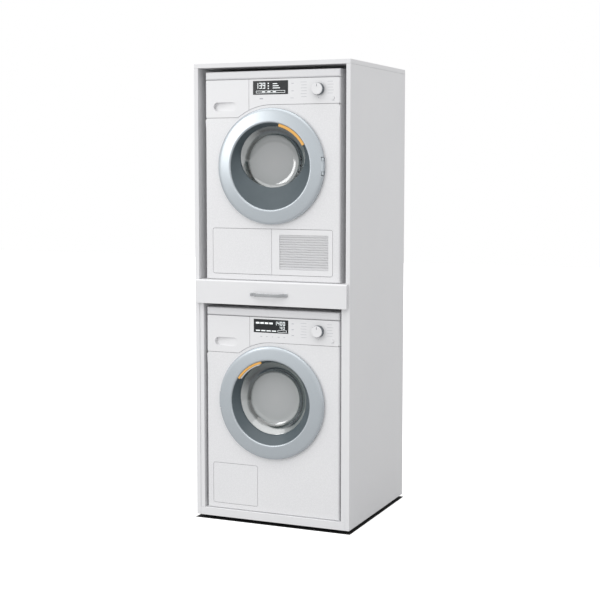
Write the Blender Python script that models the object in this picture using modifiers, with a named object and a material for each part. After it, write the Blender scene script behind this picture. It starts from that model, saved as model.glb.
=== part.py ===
"""A washing machine and a tumble dryer stacked in an open-fronted cabinet, with a pull-out tray between.

Frame: metres, +Z up, -Y is the front, +X is the right-hand side seen from the front. The origin lies on
the floor, in the middle of the footprint, which runs from the tray's handle to the cabinet's back edge.
Each machine is drawn from its own empty: x from the machine's middle, y back from its front face, z up
from its underside. A piece that moves is drawn from an empty on its joint's axis.
"""

import math

import bmesh
import bpy

# Cabinet boards and feet
CABINET_WIDTH = 0.690
CABINET_DEPTH = 0.660
BOARD = 0.018
BASE_THICKNESS = 0.033
SHELF_THICKNESS = 0.025
CARRIER_SETBACK = 0.002
FOOT_HEIGHT = 0.013
FOOT_RADIUS = 0.022
FOOT_INSET = 0.040

# Rooms left inside the cabinet
WASHER_HEADROOM = 0.0175
DRYER_HEADROOM = 0.0165
MACHINE_SETBACK = 0.010

# Pull-out tray
TRAY_FRONT_HEIGHT = 0.0985
TRAY_FRONT_THICKNESS = 0.016
TRAY_FRONT_INSET = 0.008
TRAY_FRONT_GAP = 0.0015
TRAY_FRONT_CHAMFER = 0.008
TRAY_DEPTH = 0.500
TRAY_WALL = 0.012
TRAY_FLOOR = 0.008
TRAY_LIFT = 0.005
HANDLE_LENGTH = 0.166
HANDLE_BAR_LENGTH = 0.104
HANDLE_REACH = 0.024
HANDLE_HEIGHT = 0.014
HANDLE_STRAP = 0.005
RUNNER_WIDTH = 0.012
RUNNER_HEIGHT = 0.036
RUNNER_SHEET = 0.002
SLIDE_CLEARANCE = 0.001

# Outside of either machine
MACHINE_WIDTH = 0.596
MACHINE_HEIGHT = 0.850
MACHINE_DEPTH = 0.600
LID_HEIGHT = 0.0325
FRONT_THICKNESS = 0.018
SHEET = 0.003
SEAM = 0.0015
TOUCH = 0.0004
FASCIA_HEIGHT = 0.103
DRAWER_FRONT_HEIGHT = 0.152
DRAWER_EDGE_X = -0.100
FASCIA_CURVE_GAP = 0.013
FASCIA_CURVE_RISE = 0.001

# Door
RING_RADIUS = 0.235
WINDOW_RADIUS = 0.1745
PORT_RADIUS = 0.172
RING_BACK = -0.002
RING_DEPTH = 0.0215
LEDGE_RADIUS = 0.156
LEDGE_THICKNESS = 0.006
GLASS_THICKNESS = 0.004
GLASS_CLEARANCE = 0.0015
GLASS_DEPTH = 0.064
GLASS_FLOOR_RADIUS = 0.112
HINGE_INSET = 0.007
HINGE_Y = -0.011
PIN_RADIUS = 0.003
KNUCKLE_RADIUS = 0.006
KNUCKLE_HALF = 0.0212
HINGE_HALF = 0.034
HINGE_PLATE = 0.0016
LUG_HALF = 0.0042
RUNNING_GAP = 0.0004

# Controls
DISPLAY_X = -0.004
DISPLAY_WIDTH = 0.156
DISPLAY_HEIGHT = 0.056
DISPLAY_DROP = 0.0065
DISPLAY_DEPTH = 0.014
KNOB_X = 0.206
KNOB_DROP = 0.045
KNOB_RADIUS = 0.0245
KNOB_REACH = 0.022
SPINDLE_RADIUS = 0.004
BUTTON_X = 0.268
BUTTON_DROP = 0.081
BUTTON_RADIUS = 0.006
BUTTON_PROUD = 0.0025
BUTTON_FLANGE = 0.0025
PILL_X = -0.209
PILL_DROP = 0.108
PILL_WIDTH = 0.104
PILL_HEIGHT = 0.036
PILL_DEPTH = 0.013

# Pull-out drawers behind the left end of each fascia
DRAWER_LENGTH = 0.330
DRAWER_WALL = 0.003
DRAWER_BOX_HEIGHT = 0.050
DRAWER_BOX_TOP_DROP = 0.008
DRAWER_SIDE_ROOM = 0.006

# Washer insides
DRUM_RADIUS = 0.238
DRUM_WALL = 0.003
DRUM_FRONT_Y = 0.112
DRUM_BACK_Y = 0.455
DRUM_MOUTH_RADIUS = 0.150
TUB_CLEARANCE = 0.015
TUB_WALL = 0.005
TUB_LIP_RADIUS = 0.160
TUB_FRONT_Y = 0.094
SHAFT_RADIUS = 0.0145
HUB_RADIUS = 0.036
PULLEY_RADIUS = 0.140
PULLEY_WIDTH = 0.018
PULLEY_Y = 0.538
MOTOR_X = 0.100
MOTOR_Z = 0.105
MOTOR_RADIUS = 0.056
MOTOR_LENGTH = 0.150
MOTOR_SHAFT_RADIUS = 0.006
MOTOR_PULLEY_RADIUS = 0.010
BELT_THICKNESS = 0.003
BELT_WIDTH = 0.014
LIFTER_HEIGHT = 0.042
LIFTER_BASE = 0.060
LIFTER_TOP = 0.022
DAMPER_X = 0.165
DAMPER_Y = 0.260
DAMPER_RADIUS = 0.013
GASKET_THICKNESS = 0.003
FLAP_WIDTH = 0.203
FLAP_HEIGHT = 0.170
FLAP_LEFT_X = -0.270
FLAP_Z = 0.024
FLAP_THICKNESS = 0.010
FLAP_CORNER = 0.008
PUMP_X = -0.168
PUMP_Z = 0.105
PUMP_RADIUS = 0.038
FILTER_RADIUS = 0.030
FILTER_STEM_RADIUS = 0.020

# Dryer insides
DRYER_DRUM_OVER_RING = 0.040
DRYER_DRUM_FRONT_Y = 0.054
DRYER_DRUM_BACK_Y = 0.510
DRYER_MOUTH_RADIUS = 0.2155
BULKHEAD_OVER_DRUM = 0.005
BULKHEAD_RIM_RADIUS = 0.2105
DRYER_STUB_RADIUS = 0.012
DRYER_MOTOR_X = 0.185
DRYER_MOTOR_Z = 0.085
DRYER_MOTOR_RADIUS = 0.050
DRYER_MOTOR_Y = 0.300
DRYER_BELT_Y = 0.268
FAN_RADIUS = 0.056
PLINTH_HALF = 0.266
PLINTH_Z = 0.0265
PLINTH_HEIGHT = 0.1855
GRILLE_SLOTS = 14
GRILLE_SLOT = 0.005
GRILLE_LEFT = 0.034
GRILLE_RIGHT = 0.248
GRILLE_MARGIN = 0.0225
EXCHANGER_DEPTH = 0.300

ROUND = 40
SMALL_ROUND = 20

# Places worked out from the sizes above
FRONT_REACH = TRAY_FRONT_GAP + TRAY_FRONT_THICKNESS + HANDLE_REACH
FRONT_Y = -(CABINET_DEPTH - FRONT_REACH) / 2
BACK_Y = FRONT_Y + CABINET_DEPTH
MIDDLE_Y = (FRONT_Y + BACK_Y) / 2
MACHINE_Y = FRONT_Y + MACHINE_SETBACK
WASHER_Z = FOOT_HEIGHT + BASE_THICKNESS + TOUCH
TRAY_Z = WASHER_Z + MACHINE_HEIGHT + WASHER_HEADROOM
SHELF_TOP = TRAY_Z + TRAY_FRONT_HEIGHT
SHELF_Z = SHELF_TOP - SHELF_THICKNESS
DRYER_Z = SHELF_TOP + TOUCH
TOP_Z = DRYER_Z + MACHINE_HEIGHT + DRYER_HEADROOM
SIDE_X = CABINET_WIDTH / 2 - BOARD
CARRIER_X = SIDE_X - TOUCH - BOARD
HALF_MACHINE = MACHINE_WIDTH / 2
LID_Z = MACHINE_HEIGHT - LID_HEIGHT
FASCIA_TOP = LID_Z - SEAM
FASCIA_Z = FASCIA_TOP - FASCIA_HEIGHT
DRAWER_FRONT_Z = FASCIA_TOP - DRAWER_FRONT_HEIGHT
FASCIA_CURVE_RADIUS = RING_RADIUS + FASCIA_CURVE_GAP
DOOR_CENTRE_Z = FASCIA_Z + FASCIA_CURVE_RISE - FASCIA_CURVE_RADIUS
CASE_BACK = MACHINE_DEPTH - SHEET - TOUCH
HINGE_X = RING_RADIUS - HINGE_INSET
DRYER_DRUM_RADIUS = RING_RADIUS + DRYER_DRUM_OVER_RING
BULKHEAD_RADIUS = DRYER_DRUM_RADIUS + BULKHEAD_OVER_DRUM
TUB_RADIUS = DRUM_RADIUS + TUB_CLEARANCE + TUB_WALL
TUB_BACK_Y = DRUM_BACK_Y + TUB_CLEARANCE + TUB_WALL
HUB_BACK_Y = PULLEY_Y - 2 * SLIDE_CLEARANCE


def clear_scene():
    for old in list(bpy.data.objects):
        bpy.data.objects.remove(old)


def new_collection(name):
    collection = bpy.data.collections.new(name)
    bpy.context.scene.collection.children.link(collection)
    return collection


def make_material(name, colour, roughness, metallic=0.0, alpha=1.0):
    material = bpy.data.materials.new(name)
    material.use_nodes = True
    shader = material.node_tree.nodes["Principled BSDF"]
    shader.inputs["Base Color"].default_value = (*colour, 1.0)
    shader.inputs["Roughness"].default_value = roughness
    shader.inputs["Metallic"].default_value = metallic
    shader.inputs["Alpha"].default_value = alpha
    return material


clear_scene()
STACK = new_collection("washer_dryer_stack")
CUTTERS = new_collection("cutters")
LAMINATE = make_material("white_laminate", (0.80, 0.80, 0.80), 0.45)
ENAMEL = make_material("white_enamel", (0.84, 0.84, 0.85), 0.30)
PLASTIC = make_material("white_plastic", (0.84, 0.84, 0.85), 0.35)
DARK = make_material("dark_plastic", (0.03, 0.03, 0.035), 0.40)
SILVER = make_material("silver_trim", (0.58, 0.63, 0.68), 0.30, 0.6)
STEEL = make_material("stainless_steel", (0.62, 0.62, 0.61), 0.28, 1.0)
ZINC = make_material("zinc_steel", (0.48, 0.49, 0.50), 0.45, 1.0)
CAST = make_material("cast_aluminium", (0.55, 0.56, 0.57), 0.45, 1.0)
RUBBER = make_material("grey_rubber", (0.22, 0.23, 0.24), 0.70)
GLASS = make_material("door_glass", (0.75, 0.80, 0.80), 0.05, 0.0, 0.35)
SCREEN = make_material("display_glass", (0.05, 0.055, 0.06), 0.12)


def add_object(name, data, parent, material, place=(0, 0, 0), turn=(0, 0, 0)):
    obj = bpy.data.objects.new(name, data)
    STACK.objects.link(obj)
    obj.parent = parent
    obj.location = place
    obj.rotation_euler = turn
    if data is not None and material is not None:
        data.materials.clear()
        data.materials.append(material)
    return obj


def empty(name, place, parent=None):
    marker = add_object(name, None, parent, None, place)
    marker.empty_display_size = 0.05
    return marker


def as_helper(obj):
    """Turns a shape into a cutter or a joined shape, which isn't itself a part of the object."""
    STACK.objects.unlink(obj)
    CUTTERS.objects.link(obj)
    obj.hide_render = True
    obj.display_type = "WIRE"
    return obj


def boolean(target, operation, *others):
    for other in others:
        step = target.modifiers.new(operation.lower(), "BOOLEAN")
        step.operation = operation
        step.solver = "EXACT"
        step.object = as_helper(other)
    return target


def box(name, low, high, parent, material):
    """A block between two corners, as a mesh in the parent's frame."""
    size = [b - a for a, b in zip(low, high)]
    middle = [(a + b) / 2 for a, b in zip(low, high)]
    mesh = bpy.data.meshes.new(name)
    bm = bmesh.new()
    bmesh.ops.create_cube(bm, size=1.0)
    bmesh.ops.scale(bm, vec=size, verts=bm.verts)
    bm.to_mesh(mesh)
    bm.free()
    return add_object(name, mesh, parent, material, middle)


def profile_area(profile):
    ends = zip(profile, profile[1:] + profile[:1])
    return sum(x0 * z1 - x1 * z0 for (x0, z0), (x1, z1) in ends) / 2


def turned(name, profile, parent, material, place, axis="Y", steps=ROUND, closed=True, wall=0.0):
    """A turned shape. The profile holds (radius, distance along the axis), and the axis passes through
    place. A closed profile is a loop, or runs from the axis to the axis; an open one gets a wall."""
    if closed and profile_area(profile) > 0:
        profile = profile[::-1]
    on_axis = profile[0][0] == 0 and profile[-1][0] == 0
    mesh = bpy.data.meshes.new(name)
    bm = bmesh.new()
    points = [bm.verts.new((radius, 0, along)) for radius, along in profile]
    for first, second in zip(points, points[1:]):
        bm.edges.new((first, second))
    if closed and not on_axis:
        bm.edges.new((points[-1], points[0]))
    bm.to_mesh(mesh)
    bm.free()
    turn = (-math.pi / 2, 0, 0) if axis == "Y" else (0, 0, 0)
    obj = add_object(name, mesh, parent, material, place, turn)
    screw = obj.modifiers.new("turn", "SCREW")
    screw.steps = screw.render_steps = steps
    screw.use_merge_vertices = True
    screw.merge_threshold = 0.00005
    screw.use_smooth_shade = True
    if wall:
        shell = obj.modifiers.new("wall", "SOLIDIFY")
        shell.thickness = wall
        shell.offset = 0.0
        shell.use_even_offset = True
    return obj


def plate(name, outlines, start, thickness, parent, material, facing="front", place=(0, 0, 0)):
    """A flat piece from closed outlines, the first one its edge and the others holes. Facing front, an
    outline holds (x, z) and the piece runs back from y = start; facing up, it holds (x, y) and rises
    from z = start."""
    curve = bpy.data.curves.new(name, "CURVE")
    curve.dimensions = "2D"
    curve.fill_mode = "BOTH"
    curve.extrude = thickness / 2
    for outline in outlines:
        spline = curve.splines.new("POLY")
        spline.points.add(len(outline) - 1)
        for point, (u, v) in zip(spline.points, outline):
            point.co = (u, v, 0, 1)
        spline.use_cyclic_u = True
    if facing == "front":
        turn = (math.pi / 2, 0, 0)
        offset = (place[0], place[1] + start + thickness / 2, place[2])
    else:
        turn = (0, 0, 0)
        offset = (place[0], place[1], place[2] + start + thickness / 2)
    drawn = add_object(name + "_outline", curve, None, None)
    graph = bpy.context.evaluated_depsgraph_get()
    mesh = bpy.data.meshes.new_from_object(drawn.evaluated_get(graph))
    bpy.data.objects.remove(drawn)
    bm = bmesh.new()
    bm.from_mesh(mesh)
    bmesh.ops.remove_doubles(bm, verts=bm.verts, dist=0.000005)
    bm.to_mesh(mesh)
    bm.free()
    return add_object(name, mesh, parent, material, offset, turn)


def arc(cx, cz, radius, start, end, steps):
    """Points of an arc, its angles in degrees from +X towards +Z."""
    turns = [math.radians(start + (end - start) * i / steps) for i in range(steps + 1)]
    return [(cx + radius * math.cos(t), cz + radius * math.sin(t)) for t in turns]


def circle(cx, cz, radius, steps=ROUND):
    return arc(cx, cz, radius, 0, 360, steps)[:-1]


def rectangle(x0, z0, x1, z1):
    return [(x0, z0), (x1, z0), (x1, z1), (x0, z1)]


def rounded(x0, z0, x1, z1, radius, corners="all", steps=4):
    """A rectangle with round corners, or only those at its left or right end."""
    spots = [
        (x0, z0, 1, 1, 180, "left"),
        (x1, z0, -1, 1, 270, "right"),
        (x1, z1, -1, -1, 0, "right"),
        (x0, z1, 1, -1, 90, "left"),
    ]
    points = []
    for x, z, inward_x, inward_z, start, side in spots:
        if corners in ("all", side):
            points += arc(x + inward_x * radius, z + inward_z * radius, radius, start, start + 90, steps)
        else:
            points.append((x, z))
    return points


# ---------------------------------------------------------------- cabinet


def cabinet_boards():
    half = CABINET_WIDTH / 2
    under_top = TOP_Z - TOUCH
    box("cabinet_left_side", (-half, FRONT_Y, FOOT_HEIGHT), (-SIDE_X, BACK_Y, under_top), None, LAMINATE)
    box("cabinet_right_side", (SIDE_X, FRONT_Y, FOOT_HEIGHT), (half, BACK_Y, under_top), None, LAMINATE)
    box("cabinet_top", (-half, FRONT_Y, TOP_Z), (half, BACK_Y, TOP_Z + BOARD), None, LAMINATE)
    inside = SIDE_X - TOUCH
    base_top = FOOT_HEIGHT + BASE_THICKNESS
    box("cabinet_base", (-inside, FRONT_Y, FOOT_HEIGHT), (inside, BACK_Y, base_top), None, LAMINATE)
    box("cabinet_shelf", (-inside, FRONT_Y, SHELF_Z), (inside, BACK_Y, SHELF_TOP), None, LAMINATE)
    for side, name in ((-1, "carrier_panel_left"), (1, "carrier_panel_right")):
        inner, outer = sorted((side * CARRIER_X, side * inside))
        low = (inner, FRONT_Y + CARRIER_SETBACK, base_top + TOUCH)
        box(name, low, (outer, BACK_Y, SHELF_Z - TOUCH), None, LAMINATE)


def cabinet_feet():
    foot = [
        (0, 0),
        (FOOT_RADIUS - 0.001, 0),
        (FOOT_RADIUS, 0.001),
        (FOOT_RADIUS, FOOT_HEIGHT - 0.004),
        (FOOT_RADIUS - 0.006, FOOT_HEIGHT - TOUCH),
        (0, FOOT_HEIGHT - TOUCH),
    ]
    reach_x = CABINET_WIDTH / 2 - FOOT_INSET
    for x, side in ((-reach_x, "left"), (reach_x, "right")):
        for y, end in ((FRONT_Y + FOOT_INSET, "front"), (BACK_Y - FOOT_INSET, "back")):
            turned(f"foot_{end}_{side}", foot, None, DARK, (x, y, 0), "Z", SMALL_ROUND)


def tray_front(tray):
    """The tray's front board, with its upper front edge chamfered. It stands proud of the carcass."""
    half = CABINET_WIDTH / 2 - TRAY_FRONT_INSET
    back = -TRAY_FRONT_GAP
    front = back - TRAY_FRONT_THICKNESS
    board = box("tray_front", (-half, front, 0), (half, back, TRAY_FRONT_HEIGHT), tray, LAMINATE)
    bm = bmesh.new()
    bm.from_mesh(board.data)
    upper_front = [
        edge for edge in bm.edges if all(v.co.z > 0 and v.co.y < 0 for v in edge.verts)
    ]
    bmesh.ops.bevel(
        bm, geom=upper_front, offset=TRAY_FRONT_CHAMFER, segments=1, profile=0.5, affect="EDGES"
    )
    bm.to_mesh(board.data)
    bm.free()


def tray_handle(tray):
    """A flat strap bent into a shallow trough shape: two feet, two slopes and a straight bar."""
    face = -TRAY_FRONT_GAP - TRAY_FRONT_THICKNESS - TOUCH
    bar = -FRONT_REACH
    foot, knee, pad = HANDLE_LENGTH / 2, HANDLE_BAR_LENGTH / 2, 0.012
    front = [(-foot, face), (-foot, face - HANDLE_STRAP), (-foot + pad, face - HANDLE_STRAP)]
    front += [(-knee, bar), (knee, bar), (foot - pad, face - HANDLE_STRAP)]
    front += [(foot, face - HANDLE_STRAP), (foot, face)]
    back = [(foot - pad - HANDLE_STRAP / 2, face), (knee - HANDLE_STRAP / 2, bar + HANDLE_STRAP)]
    outline = front + back + [(-x, y) for x, y in reversed(back)]
    middle = (TRAY_FRONT_HEIGHT - HANDLE_HEIGHT) / 2 - 0.004
    plate("tray_handle", [outline], middle, HANDLE_HEIGHT, tray, STEEL, "up")


def tray_box(tray):
    """The tray behind the front: floor and four low walls, with the runners' inner members on its sides."""
    half = CARRIER_X - RUNNER_WIDTH - SLIDE_CLEARANCE
    top = TRAY_FRONT_HEIGHT - SHELF_THICKNESS - 2 * TRAY_LIFT
    start = TOUCH
    body = box("tray_box", (-half, start, TRAY_LIFT), (half, TRAY_DEPTH, top), tray, LAMINATE)
    hollow = box(
        "tray_hollow",
        (-half + TRAY_WALL, start + TRAY_WALL, TRAY_LIFT + TRAY_FLOOR),
        (half - TRAY_WALL, TRAY_DEPTH - TRAY_WALL, top + TRAY_LIFT),
        tray,
        LAMINATE,
    )
    boolean(body, "DIFFERENCE", hollow)
    low, high = runner_bar()
    for side in (-1, 1):
        reach = CARRIER_X - RUNNER_SHEET - SLIDE_CLEARANCE
        inner, outer = sorted((side * (half - TRAY_WALL / 2), side * reach))
        bar = box(f"tray_bar_{side}", (inner, 0.010, low), (outer, TRAY_DEPTH, high), tray, ZINC)
        boolean(body, "UNION", bar)


def runner_span():
    """Lowest and highest z of the runners, from the tray's own underside."""
    middle = (TRAY_FRONT_HEIGHT - SHELF_THICKNESS) / 2
    return middle - RUNNER_HEIGHT / 2, middle + RUNNER_HEIGHT / 2


def runner_bar():
    low, high = runner_span()
    inside = RUNNER_SHEET + SLIDE_CLEARANCE
    return low + inside, high - inside


def tray_runners():
    """The outer members, channels screwed to the carrier panels and open towards the tray."""
    low, high = runner_span()
    for side, name in ((-1, "tray_runner_left"), (1, "tray_runner_right")):
        wall = side * (CARRIER_X - TOUCH)
        web = wall - side * RUNNER_SHEET
        lip = side * (CARRIER_X - RUNNER_WIDTH)
        outline = [
            (wall, TRAY_Z + low),
            (lip, TRAY_Z + low),
            (lip, TRAY_Z + low + RUNNER_SHEET),
            (web, TRAY_Z + low + RUNNER_SHEET),
            (web, TRAY_Z + high - RUNNER_SHEET),
            (lip, TRAY_Z + high - RUNNER_SHEET),
            (lip, TRAY_Z + high),
            (wall, TRAY_Z + high),
        ]
        start = FRONT_Y + CARRIER_SETBACK + 0.004
        plate(name, [outline], start, TRAY_DEPTH, None, ZINC)


# ---------------------------------------------------------------- outside of either machine


def machine_case(prefix, machine):
    """Side walls, floor and back of folded sheet, open at the front and top, with a rear opening."""
    low = (-HALF_MACHINE, FRONT_THICKNESS + TOUCH, 0)
    high = (HALF_MACHINE, CASE_BACK, LID_Z - TOUCH)
    case = box(f"{prefix}_housing", low, high, machine, ENAMEL)
    bm = bmesh.new()
    bm.from_mesh(case.data)
    gone = [face for face in bm.faces if face.normal.y < -0.5 or face.normal.z > 0.5]
    bmesh.ops.delete(bm, geom=gone, context="FACES")
    bm.to_mesh(case.data)
    bm.free()
    wall = case.modifiers.new("sheet", "SOLIDIFY")
    wall.thickness = SHEET
    wall.offset = -1.0
    wall.use_even_offset = True
    wide, low_z, high_z = rear_opening()
    opening = box(
        f"{prefix}_rear_opening",
        (-wide, CASE_BACK - 0.05, low_z),
        (wide, MACHINE_DEPTH + 0.05, high_z),
        machine,
        ENAMEL,
    )
    boolean(case, "DIFFERENCE", opening)


def rear_opening():
    """Half width, lowest and highest z of the opening in a case's back."""
    return HALF_MACHINE - 0.058, 0.100, LID_Z - 0.070


def rear_cover(prefix, machine):
    wide, low_z, high_z = rear_opening()
    edge = 0.012
    outline = rounded(-wide - edge, low_z - edge, wide + edge, high_z + edge, 0.010)
    return plate(f"{prefix}_rear_cover", [outline], MACHINE_DEPTH - SHEET, SHEET, machine, ZINC)


def machine_lid(prefix, machine):
    low = (-HALF_MACHINE, 0, LID_Z)
    box(f"{prefix}_lid", low, (HALF_MACHINE, MACHINE_DEPTH - SHEET, MACHINE_HEIGHT), machine, PLASTIC)


def fascia_curve(grow, from_x, to_x, steps=14):
    """The arc round the door that shapes the fascia's lower edge, between two x, left to right."""
    radius = FASCIA_CURVE_RADIUS + grow
    start = math.degrees(math.acos(from_x / radius))
    end = math.degrees(math.acos(to_x / radius))
    return arc(0, DOOR_CENTRE_Z, radius, start, end, steps)


def curve_x(height, grow):
    """How far left of the door's centre the arc stands at a height."""
    radius = FASCIA_CURVE_RADIUS + grow
    return -math.sqrt(radius**2 - (height - DOOR_CENTRE_Z) ** 2)


def front_top():
    """The height at which the fascia's curve meets its straight right-hand part."""
    return max(FASCIA_Z, DOOR_CENTRE_Z + RING_RADIUS + SEAM)


def front_panel(prefix, machine, holes):
    """The face below the fascia, with the port and the holes of its flap or plinth."""
    level = front_top() - SEAM
    shoulder = DRAWER_FRONT_Z - SEAM
    below = -SEAM
    radius = FASCIA_CURVE_RADIUS + below
    right_x = math.sqrt(max(radius**2 - (level - DOOR_CENTRE_Z) ** 2, 0.0))
    outline = [(-HALF_MACHINE, TOUCH), (HALF_MACHINE, TOUCH), (HALF_MACHINE, level)]
    outline += fascia_curve(below, right_x, curve_x(shoulder, below))
    outline.append((-HALF_MACHINE, shoulder))
    port = circle(0, DOOR_CENTRE_Z, PORT_RADIUS)
    plate(f"{prefix}_front_panel", [outline, port, *holes], 0, FRONT_THICKNESS, machine, ENAMEL)


def display_span():
    top = FASCIA_TOP - DISPLAY_DROP
    left = DISPLAY_X - DISPLAY_WIDTH / 2
    return left, top - DISPLAY_HEIGHT, left + DISPLAY_WIDTH, top


def control_panel(prefix, machine):
    """The fixed fascia, with holes for the display, the knob's spindle and the start button."""
    level = front_top()
    radius = FASCIA_CURVE_RADIUS
    right_x = math.sqrt(max(radius**2 - (level - DOOR_CENTRE_Z) ** 2, 0.0))
    left = DRAWER_EDGE_X + SEAM / 2
    outline = [(left, FASCIA_TOP)]
    outline += fascia_curve(0, left, right_x)
    outline += [(HALF_MACHINE, level), (HALF_MACHINE, FASCIA_TOP)]
    window = rectangle(*display_span())
    spindle = circle(KNOB_X, FASCIA_TOP - KNOB_DROP, SPINDLE_RADIUS + RUNNING_GAP, SMALL_ROUND)
    button = circle(BUTTON_X, FASCIA_TOP - BUTTON_DROP, BUTTON_RADIUS + RUNNING_GAP, SMALL_ROUND)
    holes = [window, spindle, button]
    plate(f"{prefix}_control_panel", [outline, *holes], 0, FRONT_THICKNESS, machine, PLASTIC)
    left, bottom, right, top = display_span()
    box(
        f"{prefix}_display",
        (left + TOUCH, -0.0005, bottom + TOUCH),
        (right - TOUCH, DISPLAY_DEPTH, top - TOUCH),
        machine,
        SCREEN,
    )


def knob(prefix, machine):
    axis = empty(f"{prefix}_knob_axis", (KNOB_X, 0, FASCIA_TOP - KNOB_DROP), machine)
    profile = [
        (0, -KNOB_REACH),
        (KNOB_RADIUS - 0.004, -KNOB_REACH),
        (KNOB_RADIUS - 0.001, -KNOB_REACH + 0.003),
        (KNOB_RADIUS, -0.001),
        (SPINDLE_RADIUS, -0.001),
        (SPINDLE_RADIUS, FRONT_THICKNESS + 0.004),
        (0, FRONT_THICKNESS + 0.004),
    ]
    turned(f"{prefix}_knob", profile, axis, PLASTIC, (0, 0, 0), steps=32)


def start_button(prefix, machine):
    """A round key with a flange behind the fascia, which keeps it in."""
    axis = empty(f"{prefix}_button_axis", (BUTTON_X, 0, FASCIA_TOP - BUTTON_DROP), machine)
    behind = FRONT_THICKNESS + TOUCH
    profile = [
        (0, -BUTTON_PROUD),
        (BUTTON_RADIUS - 0.0007, -BUTTON_PROUD),
        (BUTTON_RADIUS, -BUTTON_PROUD + 0.0007),
        (BUTTON_RADIUS, behind),
        (BUTTON_RADIUS + BUTTON_FLANGE, behind),
        (BUTTON_RADIUS + BUTTON_FLANGE, behind + BUTTON_FLANGE),
        (0, behind + BUTTON_FLANGE),
    ]
    turned(f"{prefix}_start_button", profile, axis, PLASTIC, (0, 0, 0), steps=SMALL_ROUND)


def fascia_drawer(prefix, name, machine, divider):
    """A drawer whose front is the left end of the fascia, with a pill-shaped grip and an open box."""
    axis = empty(f"{prefix}_drawer_slide", (0, 0, 0), machine)
    right = DRAWER_EDGE_X - SEAM / 2
    outline = [(-HALF_MACHINE, FASCIA_TOP), (-HALF_MACHINE, DRAWER_FRONT_Z)]
    outline += fascia_curve(0, curve_x(DRAWER_FRONT_Z, 0), right, 6)
    outline.append((right, FASCIA_TOP))
    drawer = plate(f"{prefix}_{name}", [outline], 0, FRONT_THICKNESS, axis, PLASTIC)
    radius = PILL_HEIGHT / 2
    half = PILL_WIDTH / 2 - radius
    pill = arc(half, 0, radius, -90, 90, 8) + arc(-half, 0, radius, 90, 270, 8)
    pill_z = FASCIA_TOP - PILL_DROP
    grip = [(PILL_X + x, pill_z + z) for x, z in pill]
    depth = PILL_DEPTH + 0.004
    recess = plate(f"{prefix}_grip", [grip], -0.004, depth, axis, PLASTIC)
    top = FASCIA_TOP - DRAWER_BOX_TOP_DROP
    left = -HALF_MACHINE + SHEET + DRAWER_SIDE_ROOM
    inner_right = right - DRAWER_SIDE_ROOM
    low = (left, FRONT_THICKNESS / 2, top - DRAWER_BOX_HEIGHT)
    high = (inner_right, FRONT_THICKNESS + DRAWER_LENGTH, top)
    tray = box(f"{prefix}_drawer_tray", low, high, axis, PLASTIC)
    boolean(drawer, "UNION", tray)
    first = FRONT_THICKNESS + DRAWER_WALL
    last = FRONT_THICKNESS + DRAWER_LENGTH - DRAWER_WALL
    rooms = [(left + DRAWER_WALL, inner_right - DRAWER_WALL)]
    if divider:
        middle = (left + inner_right) / 2
        rooms = [
            (left + DRAWER_WALL, middle - DRAWER_WALL / 2),
            (middle + DRAWER_WALL / 2, inner_right - DRAWER_WALL),
        ]
    floor = top - DRAWER_BOX_HEIGHT + DRAWER_WALL
    hollows = [
        box(f"{prefix}_room_{i}", (x0, first, floor), (x1, last, top + 0.01), axis, PLASTIC)
        for i, (x0, x1) in enumerate(rooms)
    ]
    boolean(drawer, "DIFFERENCE", recess, *hollows)


# ---------------------------------------------------------------- door


def ring_profile():
    """Section of the door ring, from its back face round the outer edge to the ledge for the glass."""
    front = RING_BACK - RING_DEPTH
    ledge = RING_BACK - LEDGE_THICKNESS
    return [
        (LEDGE_RADIUS, RING_BACK),
        (RING_RADIUS - 0.0075, RING_BACK),
        (RING_RADIUS - 0.0015, RING_BACK - 0.0045),
        (RING_RADIUS, RING_BACK - 0.0085),
        (RING_RADIUS - 0.0020, RING_BACK - 0.0130),
        (RING_RADIUS - 0.0070, RING_BACK - 0.0165),
        (RING_RADIUS - 0.0250, front + 0.0025),
        (WINDOW_RADIUS + 0.0100, front),
        (WINDOW_RADIUS + 0.0020, front + 0.0015),
        (WINDOW_RADIUS, front + 0.0050),
        (WINDOW_RADIUS - 0.0020, ledge),
        (LEDGE_RADIUS, ledge),
    ]


def door_ring(prefix, axis, side):
    """The ring, with a pocket in its back for the hinge and a knuckle that turns on the hinge's pin."""
    centre_x = -side * HINGE_X
    ring = turned(f"{prefix}_door_ring", ring_profile(), axis, SILVER, (centre_x, -HINGE_Y, 0))
    pocket_floor = -0.0175 - HINGE_Y
    reach = sorted((side * 0.020, -side * 0.013))
    low = (reach[0], pocket_floor, -HINGE_HALF - 0.003)
    high = (reach[1], 0.030, HINGE_HALF + 0.003)
    pocket = box(f"{prefix}_hinge_pocket", low, high, axis, SILVER)
    knuckle_profile = [
        (PIN_RADIUS + RUNNING_GAP, -KNUCKLE_HALF),
        (KNUCKLE_RADIUS, -KNUCKLE_HALF),
        (KNUCKLE_RADIUS, KNUCKLE_HALF),
        (PIN_RADIUS + RUNNING_GAP, KNUCKLE_HALF),
    ]
    knuckle = turned(
        f"{prefix}_knuckle", knuckle_profile, axis, SILVER, (0, 0, 0), "Z", SMALL_ROUND
    )
    inside = PIN_RADIUS + 0.001
    neck = box(
        f"{prefix}_knuckle_neck",
        (-inside, pocket_floor - 0.0012, -KNUCKLE_HALF),
        (inside, -inside, KNUCKLE_HALF),
        axis,
        SILVER,
    )
    boolean(ring, "DIFFERENCE", pocket)
    boolean(ring, "UNION", neck, knuckle)


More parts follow.
